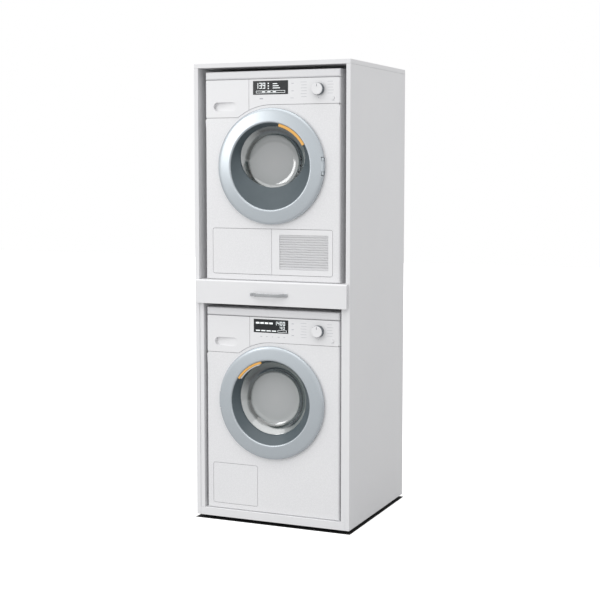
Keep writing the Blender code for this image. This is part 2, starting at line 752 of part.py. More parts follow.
def door_glass(prefix, axis, side):
    """A pressed bowl whose flange lies on the ring's ledge and whose floor reaches into the port."""
    front = RING_BACK - LEDGE_THICKNESS - TOUCH - GLASS_THICKNESS
    rim = LEDGE_RADIUS - GLASS_CLEARANCE
    flange = WINDOW_RADIUS - 0.0045
    floor = front + GLASS_DEPTH
    inner = [
        (0, floor),
        (GLASS_FLOOR_RADIUS - 0.012, floor - 0.002),
        (GLASS_FLOOR_RADIUS, floor - 0.009),
        (GLASS_FLOOR_RADIUS + 0.020, floor - 0.040),
        (rim - GLASS_THICKNESS - 0.003, front + 0.007),
        (rim, front),
        (flange, front),
    ]
    outer = [
        (flange, front + GLASS_THICKNESS),
        (rim, front + GLASS_THICKNESS),
        (rim - 0.001, front + GLASS_THICKNESS + 0.006),
        (GLASS_FLOOR_RADIUS + 0.020 + GLASS_THICKNESS, floor - 0.038),
        (GLASS_FLOOR_RADIUS + GLASS_THICKNESS, floor - 0.006),
        (GLASS_FLOOR_RADIUS - 0.010, floor + GLASS_THICKNESS - 0.002),
        (0, floor + GLASS_THICKNESS),
    ]
    centre_x = -side * HINGE_X
    turned(f"{prefix}_door_glass", inner + outer, axis, GLASS, (centre_x, -HINGE_Y, 0))


def door_hinge(prefix, machine, side):
    """The fixed half of the hinge: a plate on the front panel, and two lugs with the pin between them. Each
    lug stands on a root at the door's closed side, which leaves room for the ring when the door is open."""
    x = side * HINGE_X
    face = -TOUCH - HINGE_PLATE
    foot = box(
        f"{prefix}_door_hinge",
        (x - 0.0055, face, DOOR_CENTRE_Z - HINGE_HALF),
        (x + 0.0055, -TOUCH, DOOR_CENTRE_Z + HINGE_HALF),
        machine,
        ZINC,
    )
    root_x = sorted((x, x - side * LUG_HALF))
    lug_start = KNUCKLE_HALF + 2 * RUNNING_GAP
    for i, (low, high) in enumerate(((-HINGE_HALF, -lug_start), (lug_start, HINGE_HALF))):
        bottom, top = DOOR_CENTRE_Z + low, DOOR_CENTRE_Z + high
        eye = box(
            f"{prefix}_hinge_eye_{i}",
            (x - LUG_HALF, HINGE_Y - LUG_HALF, bottom),
            (x + LUG_HALF, HINGE_Y + LUG_HALF, top),
            machine,
            ZINC,
        )
        root = box(
            f"{prefix}_hinge_root_{i}",
            (root_x[0], HINGE_Y + LUG_HALF / 2, bottom),
            (root_x[1], face + HINGE_PLATE / 2, top),
            machine,
            ZINC,
        )
        boolean(foot, "UNION", root, eye)
    reach = HINGE_HALF - 0.002
    pin_profile = [(0, -reach), (PIN_RADIUS, -reach), (PIN_RADIUS, reach), (0, reach)]
    place = (x, HINGE_Y, DOOR_CENTRE_Z)
    pin = turned(f"{prefix}_hinge_pin", pin_profile, machine, ZINC, place, "Z", SMALL_ROUND)
    boolean(foot, "UNION", pin)


def door(prefix, machine, side):
    """Side is -1 for a hinge on the left and 1 for one on the right."""
    axis = empty(f"{prefix}_door_axis", (side * HINGE_X, HINGE_Y, DOOR_CENTRE_Z), machine)
    door_ring(prefix, axis, side)
    door_glass(prefix, axis, side)
    door_hinge(prefix, machine, side)


# ---------------------------------------------------------------- belts and drums


def belt_path(near, near_radius, far, far_radius, steps_near, steps_far):
    """The closed line of a belt round two pulleys, from the outer tangents between them."""
    dx, dz = far[0] - near[0], far[1] - near[1]
    heading = math.degrees(math.atan2(dz, dx))
    lean = math.degrees(math.acos((near_radius - far_radius) / math.hypot(dx, dz)))
    path = arc(*near, near_radius, heading + lean, heading + 360 - lean, steps_near)
    path += arc(*far, far_radius, heading - lean, heading + lean, steps_far)
    return path


def belt(name, machine, near, near_radius, far, far_radius, start, material):
    loops = [
        belt_path(near, near_radius + grow, far, far_radius + grow, ROUND, 10)
        for grow in (TOUCH + BELT_THICKNESS, TOUCH)
    ]
    plate(name, loops, start, BELT_WIDTH, machine, material)


def lifter(name, parent, radius, angle, first, last):
    """One of the ribs that lift the load, a trapezium standing on the drum's wall."""
    foot = radius - 0.0015
    tip = radius - LIFTER_HEIGHT
    section = [(-LIFTER_BASE / 2, foot), (LIFTER_BASE / 2, foot)]
    section += [(LIFTER_TOP / 2, tip), (-LIFTER_TOP / 2, tip)]
    turn = math.radians(angle)
    outline = [
        (x * math.cos(turn) - z * math.sin(turn), x * math.sin(turn) + z * math.cos(turn))
        for x, z in section
    ]
    return plate(name, [outline], first, last - first, parent, STEEL)


def washer_drum(machine):
    axis = empty("washer_drum_axis", (0, 0, DOOR_CENTRE_Z), machine)
    inside = DRUM_RADIUS - DRUM_WALL
    shaft_end = PULLEY_Y + PULLEY_WIDTH + 0.004
    profile = [
        (0, DRUM_BACK_Y - 0.004),
        (inside - 0.030, DRUM_BACK_Y - DRUM_WALL),
        (inside, DRUM_BACK_Y - 0.012),
        (inside, DRUM_FRONT_Y + 0.010),
        (DRUM_MOUTH_RADIUS, DRUM_FRONT_Y + DRUM_WALL),
        (DRUM_MOUTH_RADIUS, DRUM_FRONT_Y),
        (DRUM_RADIUS, DRUM_FRONT_Y + 0.007),
        (DRUM_RADIUS, DRUM_BACK_Y - 0.010),
        (inside - 0.028, DRUM_BACK_Y),
        (HUB_RADIUS, DRUM_BACK_Y + 0.010),
        (SHAFT_RADIUS, DRUM_BACK_Y + 0.010),
        (SHAFT_RADIUS, shaft_end),
        (0, shaft_end),
    ]
    drum = turned("washer_drum", profile, axis, STEEL, (0, 0, 0))
    start, stop = DRUM_FRONT_Y + 0.035, DRUM_BACK_Y - 0.035
    for i in range(3):
        rib = lifter(f"washer_lifter_{i}", axis, inside, 60 + 120 * i, start, stop)
        boolean(drum, "UNION", rib)
    bore = SHAFT_RADIUS + RUNNING_GAP
    end = PULLEY_Y + PULLEY_WIDTH
    rim = PULLEY_RADIUS - 0.012
    pulley = [
        (bore, PULLEY_Y),
        (0.030, PULLEY_Y),
        (0.030, PULLEY_Y + 0.006),
        (rim, PULLEY_Y + 0.006),
        (rim, PULLEY_Y),
        (PULLEY_RADIUS, PULLEY_Y),
        (PULLEY_RADIUS, end),
        (rim, end),
        (rim, PULLEY_Y + 0.011),
        (0.030, PULLEY_Y + 0.011),
        (0.030, end),
        (bore, end),
    ]
    turned("washer_drum_pulley", pulley, axis, CAST, (0, 0, 0))


def washer_tub(machine):
    """The water-tight tub round the drum, with the bearing hub at its back."""
    inside = TUB_RADIUS - TUB_WALL
    bore = SHAFT_RADIUS + RUNNING_GAP
    profile = [
        (TUB_LIP_RADIUS, TUB_FRONT_Y),
        (TUB_RADIUS, TUB_FRONT_Y + 0.008),
        (TUB_RADIUS, TUB_BACK_Y),
        (HUB_RADIUS, TUB_BACK_Y + 0.012),
        (HUB_RADIUS, HUB_BACK_Y),
        (bore, HUB_BACK_Y),
        (bore, TUB_BACK_Y),
        (inside, TUB_BACK_Y - TUB_WALL),
        (inside, TUB_FRONT_Y + 0.008 + TUB_WALL),
        (TUB_LIP_RADIUS, TUB_FRONT_Y + TUB_WALL),
    ]
    turned("washer_tub", profile, machine, PLASTIC, (0, 0, DOOR_CENTRE_Z))


def washer_gasket(machine):
    """The folded rubber sleeve between the front panel and the tub's mouth."""
    start = FRONT_THICKNESS + GASKET_THICKNESS
    end = TUB_FRONT_Y - GASKET_THICKNESS
    step = (end - start) / 4
    fold = [
        (PORT_RADIUS + 0.010, start),
        (LEDGE_RADIUS + 0.006, start + step),
        (PORT_RADIUS + 0.002, start + 2 * step),
        (LEDGE_RADIUS + 0.004, start + 3 * step),
        (TUB_LIP_RADIUS + 0.006, end),
    ]
    place = (0, 0, DOOR_CENTRE_Z)
    turned(
        "washer_door_gasket", fold, machine, RUBBER, place, closed=False, wall=GASKET_THICKNESS
    )


def washer_drive(machine):
    """The motor under the tub, its pulley and the belt to the drum's pulley."""
    back = HUB_BACK_Y - 0.010
    front = back - MOTOR_LENGTH
    bore = MOTOR_SHAFT_RADIUS + RUNNING_GAP
    body = [
        (0, front),
        (MOTOR_RADIUS - 0.006, front),
        (MOTOR_RADIUS, front + 0.008),
        (MOTOR_RADIUS, back - 0.014),
        (MOTOR_RADIUS - 0.020, back),
        (bore, back),
        (bore, back - 0.040),
        (0, back - 0.040),
    ]
    place = (MOTOR_X, 0, MOTOR_Z)
    turned("washer_motor", body, machine, CAST, place, steps=32)
    axis = empty("washer_motor_axis", place, machine)
    end = PULLEY_Y + PULLEY_WIDTH
    pulley = [
        (0, back - 0.038),
        (MOTOR_SHAFT_RADIUS, back - 0.038),
        (MOTOR_SHAFT_RADIUS, PULLEY_Y - 0.002),
        (MOTOR_PULLEY_RADIUS, PULLEY_Y),
        (MOTOR_PULLEY_RADIUS, end),
        (0, end),
    ]
    turned("washer_motor_pulley", pulley, axis, STEEL, (0, 0, 0), steps=SMALL_ROUND)
    start = PULLEY_Y + (PULLEY_WIDTH - BELT_WIDTH) / 2
    near, far = (0, DOOR_CENTRE_Z), (MOTOR_X, MOTOR_Z)
    belt("washer_belt", machine, near, PULLEY_RADIUS, far, MOTOR_PULLEY_RADIUS, start, DARK)


def washer_dampers(machine):
    """The two friction legs that carry the tub on the case's floor."""
    half_chord = math.sqrt(TUB_RADIUS**2 - (DAMPER_X - DAMPER_RADIUS) ** 2)
    top = DOOR_CENTRE_Z - half_chord - 2 * SLIDE_CLEARANCE
    rod = DAMPER_RADIUS * 0.5
    sleeve_end = top * 0.6
    leg = [
        (0, SHEET + TOUCH),
        (DAMPER_RADIUS, SHEET + TOUCH),
        (DAMPER_RADIUS, sleeve_end),
        (rod, sleeve_end + 0.003),
        (rod, top - 0.012),
        (DAMPER_RADIUS, top - 0.010),
        (DAMPER_RADIUS, top),
        (0, top),
    ]
    for side, name in ((-1, "washer_damper_left"), (1, "washer_damper_right")):
        turned(name, leg, machine, DARK, (side * DAMPER_X, DAMPER_Y, 0), "Z", SMALL_ROUND)


def washer_drain(machine):
    """The drain pump behind the flap, and the filter plug that turns in its mouth."""
    mouth = FLAP_THICKNESS + 0.018
    end = mouth + 0.120
    bore = FILTER_STEM_RADIUS + RUNNING_GAP
    pump = [
        (0, end),
        (PUMP_RADIUS - 0.008, end),
        (PUMP_RADIUS, end - 0.010),
        (PUMP_RADIUS, mouth),
        (bore, mouth),
        (bore, mouth + 0.070),
        (0, mouth + 0.070),
    ]
    place = (PUMP_X, 0, PUMP_Z)
    turned("washer_drain_pump", pump, machine, DARK, place, steps=32)
    axis = empty("washer_filter_axis", place, machine)
    face = mouth - TOUCH - 0.008
    plug = [
        (0, face),
        (FILTER_RADIUS, face),
        (FILTER_RADIUS, mouth - TOUCH),
        (FILTER_STEM_RADIUS, mouth - TOUCH),
        (FILTER_STEM_RADIUS, mouth + 0.066),
        (0, mouth + 0.066),
    ]
    plug_obj = turned("washer_drain_filter", plug, axis, DARK, (0, 0, 0), steps=32)
    grip = box(
        "washer_filter_grip",
        (-0.004, FLAP_THICKNESS + 0.003, -FILTER_RADIUS + 0.004),
        (0.004, face + 0.001, FILTER_RADIUS - 0.004),
        axis,
        DARK,
    )
    boolean(plug_obj, "UNION", grip)


def washer_flap(machine):
    """The service flap, hinged along its lower front edge."""
    axis = empty("washer_flap_axis", (FLAP_LEFT_X + FLAP_WIDTH / 2, 0, FLAP_Z), machine)
    half = FLAP_WIDTH / 2
    outline = rounded(-half, 0, half, FLAP_HEIGHT, FLAP_CORNER)
    plate("washer_filter_flap", [outline], 0, FLAP_THICKNESS, axis, ENAMEL)


def flap_hole():
    right = FLAP_LEFT_X + FLAP_WIDTH + SEAM
    top = FLAP_Z + FLAP_HEIGHT + SEAM
    return rounded(FLAP_LEFT_X - SEAM, FLAP_Z - SEAM, right, top, FLAP_CORNER + SEAM)


# ---------------------------------------------------------------- dryer insides


def dryer_bulkhead(machine):
    """The front bearing ring: a disc behind the front panel with a rim inside the drum's mouth."""
    start = FRONT_THICKNESS + TOUCH
    disc = start + 0.005
    rim_end = DRYER_DRUM_FRONT_Y + 0.010
    inner = BULKHEAD_RIM_RADIUS - 0.006
    profile = [
        (PORT_RADIUS, start),
        (BULKHEAD_RADIUS, start),
        (BULKHEAD_RADIUS, disc),
        (BULKHEAD_RIM_RADIUS, disc),
        (BULKHEAD_RIM_RADIUS, rim_end),
        (inner, rim_end),
        (inner, disc + 0.004),
        (PORT_RADIUS, disc + 0.004),
    ]
    turned("dryer_bulkhead", profile, machine, PLASTIC, (0, 0, DOOR_CENTRE_Z))


def dryer_drum(machine):
    axis = empty("dryer_drum_axis", (0, 0, DOOR_CENTRE_Z), machine)
    inside = DRYER_DRUM_RADIUS - DRUM_WALL
    stub_end = MACHINE_DEPTH - 0.014
    profile = [
        (0, DRYER_DRUM_BACK_Y - 0.004),
        (inside - 0.040, DRYER_DRUM_BACK_Y - DRUM_WALL),
        (inside, DRYER_DRUM_BACK_Y - 0.014),
        (inside, DRYER_DRUM_FRONT_Y + 0.012),
        (DRYER_MOUTH_RADIUS, DRYER_DRUM_FRONT_Y + DRUM_WALL),
        (DRYER_MOUTH_RADIUS, DRYER_DRUM_FRONT_Y),
        (DRYER_DRUM_RADIUS, DRYER_DRUM_FRONT_Y + 0.009),
        (DRYER_DRUM_RADIUS, DRYER_DRUM_BACK_Y - 0.012),
        (inside - 0.038, DRYER_DRUM_BACK_Y),
        (DRYER_STUB_RADIUS + 0.020, DRYER_DRUM_BACK_Y + 0.006),
        (DRYER_STUB_RADIUS, DRYER_DRUM_BACK_Y + 0.006),
        (DRYER_STUB_RADIUS, stub_end),
        (0, stub_end),
    ]
    drum = turned("dryer_drum", profile, axis, STEEL, (0, 0, 0))
    first, last = DRYER_DRUM_FRONT_Y + 0.035, DRYER_DRUM_BACK_Y - 0.035
    for i in range(3):
        boolean(drum, "UNION", lifter(f"dryer_lifter_{i}", axis, inside, 30 + 120 * i, first, last))


def dryer_rear(machine):
    """The dryer's rear cover, with the boss that holds the drum's stub shaft."""
    cover = rear_cover("dryer", machine)
    bore = DRYER_STUB_RADIUS + RUNNING_GAP
    boss = [
        (bore, DRYER_DRUM_BACK_Y + 0.030),
        (bore + 0.014, DRYER_DRUM_BACK_Y + 0.030),
        (bore + 0.022, MACHINE_DEPTH - 0.0015),
        (0, MACHINE_DEPTH - 0.0015),
        (0, MACHINE_DEPTH - 0.010),
        (bore, MACHINE_DEPTH - 0.010),
    ]
    place = (0, 0, DOOR_CENTRE_Z)
    holder = turned("dryer_bearing_boss", boss, machine, ZINC, place, steps=32)
    boolean(cover, "UNION", holder)


def dryer_drive(machine):
    """The motor, whose one shaft carries the belt's pulley in front and the fan wheel behind."""
    front = DRYER_MOTOR_Y
    back = front + MOTOR_LENGTH
    bore = MOTOR_SHAFT_RADIUS + RUNNING_GAP
    body = [
        (bore, front),
        (DRYER_MOTOR_RADIUS - 0.018, front),
        (DRYER_MOTOR_RADIUS, front + 0.012),
        (DRYER_MOTOR_RADIUS, back - 0.012),
        (DRYER_MOTOR_RADIUS - 0.018, back),
        (bore, back),
    ]
    place = (DRYER_MOTOR_X, 0, DRYER_MOTOR_Z)
    turned("dryer_motor", body, machine, CAST, place, steps=32)
    axis = empty("dryer_motor_axis", place, machine)
    pulley = DRYER_BELT_Y - 0.003
    shaft = MOTOR_SHAFT_RADIUS
    hub = shaft + 0.012
    wheel = back + 0.008
    rotor = [
        (0, pulley),
        (MOTOR_PULLEY_RADIUS, pulley),
        (MOTOR_PULLEY_RADIUS, pulley + BELT_WIDTH + 0.006),
        (shaft, pulley + BELT_WIDTH + 0.007),
        (shaft, wheel),
        (hub, wheel),
        (FAN_RADIUS, wheel + 0.006),
        (FAN_RADIUS, wheel + 0.040),
        (FAN_RADIUS - 0.004, wheel + 0.040),
        (FAN_RADIUS - 0.004, wheel + 0.010),
        (hub, wheel + 0.005),
        (hub, wheel + 0.036),
        (0, wheel + 0.036),
    ]
    turned("dryer_motor_rotor", rotor, axis, STEEL, (0, 0, 0), steps=32)
    near, far = (0, DOOR_CENTRE_Z), (DRYER_MOTOR_X, DRYER_MOTOR_Z)
    radius = DRYER_DRUM_RADIUS + TOUCH
    belt("dryer_belt", machine, near, radius, far, MOTOR_PULLEY_RADIUS, DRYER_BELT_Y, DARK)


def plinth_hole():
    left = -PLINTH_HALF - SEAM
    top = PLINTH_Z + PLINTH_HEIGHT + SEAM
    return rounded(left, PLINTH_Z - SEAM, -left, top, FLAP_CORNER + SEAM)


def dryer_plinth(machine):
    """The lower panel: a flap hinged at its left edge, and beside it the fixed air-intake grille."""
    axis = empty("dryer_flap_axis", (-PLINTH_HALF, 0, PLINTH_Z), machine)
    flap_width = PLINTH_HALF - SEAM / 2
    outline = rounded(0, 0, flap_width, PLINTH_HEIGHT, FLAP_CORNER, "left")
    plate("dryer_plinth_flap", [outline], 0, FLAP_THICKNESS, axis, ENAMEL)
    top = PLINTH_Z + PLINTH_HEIGHT
    frame = rounded(SEAM / 2, PLINTH_Z, PLINTH_HALF, top, FLAP_CORNER, "right")
    pitch = (PLINTH_HEIGHT - 2 * GRILLE_MARGIN) / GRILLE_SLOTS
    lowest = PLINTH_Z + GRILLE_MARGIN + (pitch - GRILLE_SLOT) / 2
    slots = [
        rectangle(GRILLE_LEFT, lowest + i * pitch, GRILLE_RIGHT, lowest + i * pitch + GRILLE_SLOT)
        for i in range(GRILLE_SLOTS)
    ]
    plate("dryer_grille", [frame, *slots], 0, FLAP_THICKNESS, machine, PLASTIC)


def dryer_exchanger(machine):
    """The heat pump's exchanger block behind the flap."""
    low = (-PLINTH_HALF + 0.006, FLAP_THICKNESS + 0.022, SHEET + TOUCH)
    high = (-0.020, FLAP_THICKNESS + 0.022 + EXCHANGER_DEPTH, PLINTH_Z + PLINTH_HEIGHT - 0.046)
    box("dryer_heat_exchanger", low, high, machine, CAST)


# ---------------------------------------------------------------- the whole stack


def washer():
    machine = empty("washer", (0, MACHINE_Y, WASHER_Z))
    machine_case("washer", machine)
    rear_cover("washer", machine)
    machine_lid("washer", machine)
    front_panel("washer", machine, [flap_hole()])
    control_panel("washer", machine)
    knob("washer", machine)
    start_button("washer", machine)
    fascia_drawer("washer", "detergent_drawer", machine, True)
    door("washer", machine, -1)
    washer_tub(machine)
    washer_gasket(machine)
    washer_drum(machine)
    washer_drive(machine)
    washer_dampers(machine)
    washer_drain(machine)
    washer_flap(machine)


def dryer():
    machine = empty("dryer", (0, MACHINE_Y, DRYER_Z))
    machine_case("dryer", machine)
    dryer_rear(machine)
    machine_lid("dryer", machine)
    front_panel("dryer", machine, [plinth_hole()])
    control_panel("dryer", machine)
    knob("dryer", machine)
    start_button("dryer", machine)
    fascia_drawer("dryer", "water_drawer", machine, False)
    door("dryer", machine, 1)
    dryer_bulkhead(machine)
    dryer_drum(machine)
    dryer_drive(machine)
    dryer_plinth(machine)
    dryer_exchanger(machine)


def main():
    cabinet_boards()
    cabinet_feet()
    tray = empty("tray_slide", (0, FRONT_Y, TRAY_Z))
    tray_front(tray)
    tray_handle(tray)
    tray_box(tray)
    tray_runners()
    washer()
    dryer()


main()
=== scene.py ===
# %% [markdown]
# # A washer dryer stack
#
# A tall white cabinet holds a tumble dryer above a washing machine, with a pull-out tray between them. The
# solid model comes first, as a frame that is never moved: it says where each piece sits and how it moves.
# What follows gives each piece the shape and finish that the eye sees.

import math

import bmesh
import bpy
from mathutils import Matrix, Vector


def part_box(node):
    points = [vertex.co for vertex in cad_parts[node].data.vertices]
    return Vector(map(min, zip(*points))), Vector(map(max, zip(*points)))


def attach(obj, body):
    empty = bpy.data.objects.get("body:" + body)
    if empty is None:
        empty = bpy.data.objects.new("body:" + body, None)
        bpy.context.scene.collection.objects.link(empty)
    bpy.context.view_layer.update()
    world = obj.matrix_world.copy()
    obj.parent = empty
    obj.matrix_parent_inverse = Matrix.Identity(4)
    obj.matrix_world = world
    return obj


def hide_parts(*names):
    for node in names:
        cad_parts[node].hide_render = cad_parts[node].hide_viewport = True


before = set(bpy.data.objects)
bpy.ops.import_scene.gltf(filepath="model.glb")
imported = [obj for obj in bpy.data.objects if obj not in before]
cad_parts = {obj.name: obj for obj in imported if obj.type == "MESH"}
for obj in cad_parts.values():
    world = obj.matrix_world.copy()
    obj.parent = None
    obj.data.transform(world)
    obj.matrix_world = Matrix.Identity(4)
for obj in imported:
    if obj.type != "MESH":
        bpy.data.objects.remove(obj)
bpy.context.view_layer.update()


# %% [markdown]
# ## Measures
#
# Every place is read from the frame, so a piece lands where the solid model says. Small sizes that belong
# to the finish alone are written in millimetres.

# %% Places read from the frame
MM = 0.001


def middle(name):
    """The centre of a node's box."""
    low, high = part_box(name)
    return Vector([(a + b) / 2 for a, b in zip(low, high)])


def placed(name, data):
    """A new object in the scene's collection."""
    made = bpy.data.objects.new(name, data)
    bpy.context.scene.collection.objects.link(made)
    return made


side_low, side_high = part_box("cabinet_right_side")
FRONT = side_low[1]
SHARP = math.radians(28)
NEAR = 0.00001
print("cabinet from y", round(FRONT, 4), "to", round(side_high[1], 4))


# %% [markdown]
# ## The camera
#
# A tall object is looked at from chest height and a little from the right. The lens is long, so that the
# cabinet's edges stay nearly parallel, and a small shift keeps them upright without tipping the camera more.

# %% Camera
camera = placed("camera", bpy.data.cameras.new("camera"))
camera.location = (2.1985, FRONT - 4.7979, side_low[2] + 1.4609)
camera.rotation_euler = (math.pi / 2 - 0.0922, 0, 0.4071)
camera.data.lens = 78.15
camera.data.shift_y = -0.02
camera.data.clip_end = 60
bpy.context.scene.camera = camera
bpy.context.scene.view_settings.view_transform = "Standard"
print("camera at", [round(v, 3) for v in camera.location])


# %% [markdown]
# ## Mixing finishes
#
# A finish is a Principled shader with a pattern on its colour, its roughness or its bump. One helper adds a
# node with its settings and links, another turns the sRGB colours of a paint chart into the linear values
# that a shader reckons in, and a third lays textures over a finish's colour, gloss and relief.

# %% Helpers for finishes


def linear(hex_colour):
    """An sRGB hex colour as the linear red, green, blue and full alpha that a shader takes."""
    parts = [int(hex_colour[i : i + 2], 16) / 255 for i in (1, 3, 5)]
    return [c / 12.92 if c <= 0.04045 else ((c + 0.055) / 1.055) ** 2.4 for c in parts] + [1.0]


def add(tree, kind, values=None, links=None, **settings):
    """Adds one node: settings are its own properties, values and links go to its sockets."""
    node = tree.nodes.new(kind)
    for name, value in settings.items():
        setattr(node, name, value)
    for socket, value in (values or {}).items():
        node.inputs[socket].default_value = value
    for socket, source in (links or {}).items():
        tree.links.new(source, node.inputs[socket])
    return node


def finish(name, colour, roughness, metallic=0.0, **extra):
    """A new material, its node tree, its shader and the object's own coordinates."""
    material = bpy.data.materials.new(name)
    material.use_nodes = True
    tree = material.node_tree
    shader = tree.nodes["Principled BSDF"]
    shader.inputs["Base Color"].default_value = linear(colour)
    shader.inputs["Roughness"].default_value = roughness
    shader.inputs["Metallic"].default_value = metallic
    for socket, value in extra.items():
        shader.inputs[socket.replace("_", " ")].default_value = value
    return material, tree, shader, tree.nodes.new("ShaderNodeTexCoord").outputs["Object"]


NOISE, CELLS = "ShaderNodeTexNoise", "ShaderNodeTexVoronoi"


def per_mm(size):
    """The scale that makes a pattern's features that many millimetres wide."""
    return 1000.0 / size


def patterned(name, colour, roughness, metallic=0.0, tint=(), gloss=(), relief=(), stretch=(1, 1, 1), **more):
    """A finish whose colour, gloss and relief each follow a texture.

    tint starts with two colours, gloss with two roughnesses and relief with a strength and a depth. Each goes
    on with its texture: the kind, the width of its features in millimetres, its detail and its output.
    """
    material, tree, shader, place = finish(name, colour, roughness, metallic, **more)
    along = add(tree, "ShaderNodeMapping", {"Scale": stretch}, {"Vector": place})

    def texture(kind, size_mm, detail=2.0, output="Fac"):
        values = {"Scale": per_mm(size_mm), "Detail": detail}
        return add(tree, kind, values, {"Vector": along.outputs["Vector"]}).outputs[output]

    if tint:
        tints = {"A": linear(tint[0]), "B": linear(tint[1])}
        mixed = add(tree, "ShaderNodeMix", tints, {"Factor": texture(*tint[2:])}, data_type="RGBA")
        tree.links.new(mixed.outputs["Result"], shader.inputs["Base Color"])
    if gloss:
        ends = {"To Min": gloss[0], "To Max": gloss[1]}
        spread = add(tree, "ShaderNodeMapRange", ends, {"Value": texture(*gloss[2:])})
        tree.links.new(spread.outputs["Result"], shader.inputs["Roughness"])
    if relief:
        depth = {"Strength": relief[0], "Distance": relief[1]}
        bump = add(tree, "ShaderNodeBump", depth, {"Height": texture(*relief[2:])})
        tree.links.new(bump.outputs["Normal"], shader.inputs["Normal"])
    return material


print("helpers ready")


# %% [markdown]
# ## White finishes
#
# Four whites sit side by side, and each catches light in its own way. Melamine board is chipboard pressed
# with a resin-soaked paper, whose press plate leaves a faint pearl grain. Enamel on sheet steel is sprayed
# and baked, which leaves a soft orange-peel. Moulded ABS has a fine spark-eroded skin, and a little of it
# shows as speckle. The lids' ABS is painted a little greyer, as painted shade from the board over each lid.
# The grains are a few tenths of a millimetre, and are drawn two to four times coarser here so that they
# show.

# %% Melamine, enamel and ABS


def white_finish(name, colour, shade, roughness, grain_mm, bump, wander_mm):
    """A white skin: a grain in its gloss and relief, and a slow drift of colour."""
    tint = (colour, shade, NOISE, wander_mm)
    gloss = (roughness - 0.06, roughness + 0.08, NOISE, grain_mm, 3.0)
    return patterned(name, colour, roughness, 0.0, tint, gloss, (bump, 0.0003, NOISE, grain_mm, 3.0))


melamine = white_finish("melamine_board", "#E8E8E9", "#E3E3E5", 0.44, 1.6, 0.16, 240)
enamel = white_finish("baked_enamel", "#E9E9EA", "#E4E4E6", 0.26, 3.2, 0.07, 180)
abs_white = white_finish("moulded_abs", "#EAEAEB", "#E6E6E8", 0.33, 0.9, 0.08, 120)
# The lids' white is greyer than the ABS: painted shade for the board that hangs over each lid
lid_white_painted_shade = white_finish("moulded_lid_painted_shade", "#E4E4E6", "#E0E0E2", 0.36, 1.1, 0.08, 140)
print("four whites, from satin board to glossy enamel")


# %% [markdown]
# ## Metals
#
# Stainless steel in a drum is rolled sheet, with a fine grain and a soft gloss. The tray's handle is
# polished and plated. Zinc-plated sheet on the machines' backs shows pale crystals, called spangle, 8 to
# 15 mm across. Motors and pulleys are cast aluminium, dull and slightly pitted. The door rings are moulded,
# then sprayed with a paint that holds aluminium flakes, so they shine softly and keep a blue-grey cast.

# %% Metals


def grained_metal(name, colour, roughness, grain_mm, stretch, bump):
    """A metal whose gloss and relief follow a grain, drawn out along one direction."""
    gloss = (roughness - 0.07, roughness + 0.10, NOISE, grain_mm, 4.0)
    relief = (bump, 0.0002, NOISE, grain_mm, 4.0)
    return patterned(name, colour, roughness, 1.0, (), gloss, relief, stretch)


stainless = grained_metal("rolled_stainless", "#C9CBCB", 0.24, 1.2, (1, 0.08, 1), 0.10)
plated = grained_metal("polished_plating", "#C6C8CA", 0.22, 1.0, (0.05, 1, 1), 0.05)
cast = grained_metal("cast_aluminium", "#A9ACAF", 0.42, 1.4, (1, 1, 1), 0.35)

crystals = (CELLS, 12, 0.0, "Color")
spangle_tint, spangle_gloss = ("#A9ADB1", "#C2C6C9", *crystals), (0.28, 0.50, *crystals)
spangle = patterned("spangled_zinc", "#B4B8BB", 0.36, 0.9, spangle_tint, spangle_gloss)
flakes = ("#B9C0C6", "#C7CED3", CELLS, 0.9, 0.0, "Distance")
lacquer = {"Coat_Weight": 0.35, "Coat_Roughness": 0.12}
flake_paint = patterned("flake_silver_paint", "#BDC4CA", 0.27, 0.50, flakes, **lacquer)
print("five metals")


# %% [markdown]
# ## Dark plastics and rubber
#
# Feet, pump and door frame are glass-filled plastic with a dull spark skin. The gasket is moulded rubber,
# with a bloom that leaves it patchy and matt.

# %% Plastics and rubber


def dull_finish(name, colour, patch, roughness, patch_mm, grain_mm, bump):
    """A dull moulded skin, patchy in colour over larger areas and grained in its relief."""
    tint = (colour, patch, NOISE, patch_mm, 3.0)
    return patterned(name, colour, roughness, 0.0, tint, (), (bump, 0.0003, NOISE, grain_mm))


black_plastic = dull_finish("black_glass_filled_nylon", "#17181A", "#202225", 0.42, 30, 1.0, 0.25)
frame_plastic = dull_finish("charcoal_door_frame", "#495459", "#545F65", 0.36, 60, 0.9, 0.10)
tub_plastic = dull_finish("grey_polypropylene_tub", "#8A8F92", "#7C8184", 0.50, 45, 1.5, 0.25)
rubber = dull_finish("grey_gasket_rubber", "#6E7376", "#7D8285", 0.62, 25, 0.8, 0.20)
belt_rubber = dull_finish("black_belt_rubber", "#141414", "#1E1E1F", 0.60, 12, 0.8, 0.20)
amber = dull_finish("amber_insert_plastic", "#F4BC66", "#EFB057", 0.32, 15, 0.9, 0.06)
print("six dull skins")


# %% [markdown]
# ## Making solids
#
# Almost every piece here is either turned on an axis or cut from a flat plate. A turned piece is a profile
# given to the spin operator; a plate is an outline with its holes, filled, pulled out to its thickness and
# bevelled. A finished piece keeps its object at the origin, so patterns stay in the right place.

# %% Helpers for solids


def mesh_from(name, bm):
    """A mesh with the shape of a bmesh, which is then freed."""
    mesh = bpy.data.meshes.new(name)
    bm.to_mesh(mesh)
    bm.free()
    return mesh


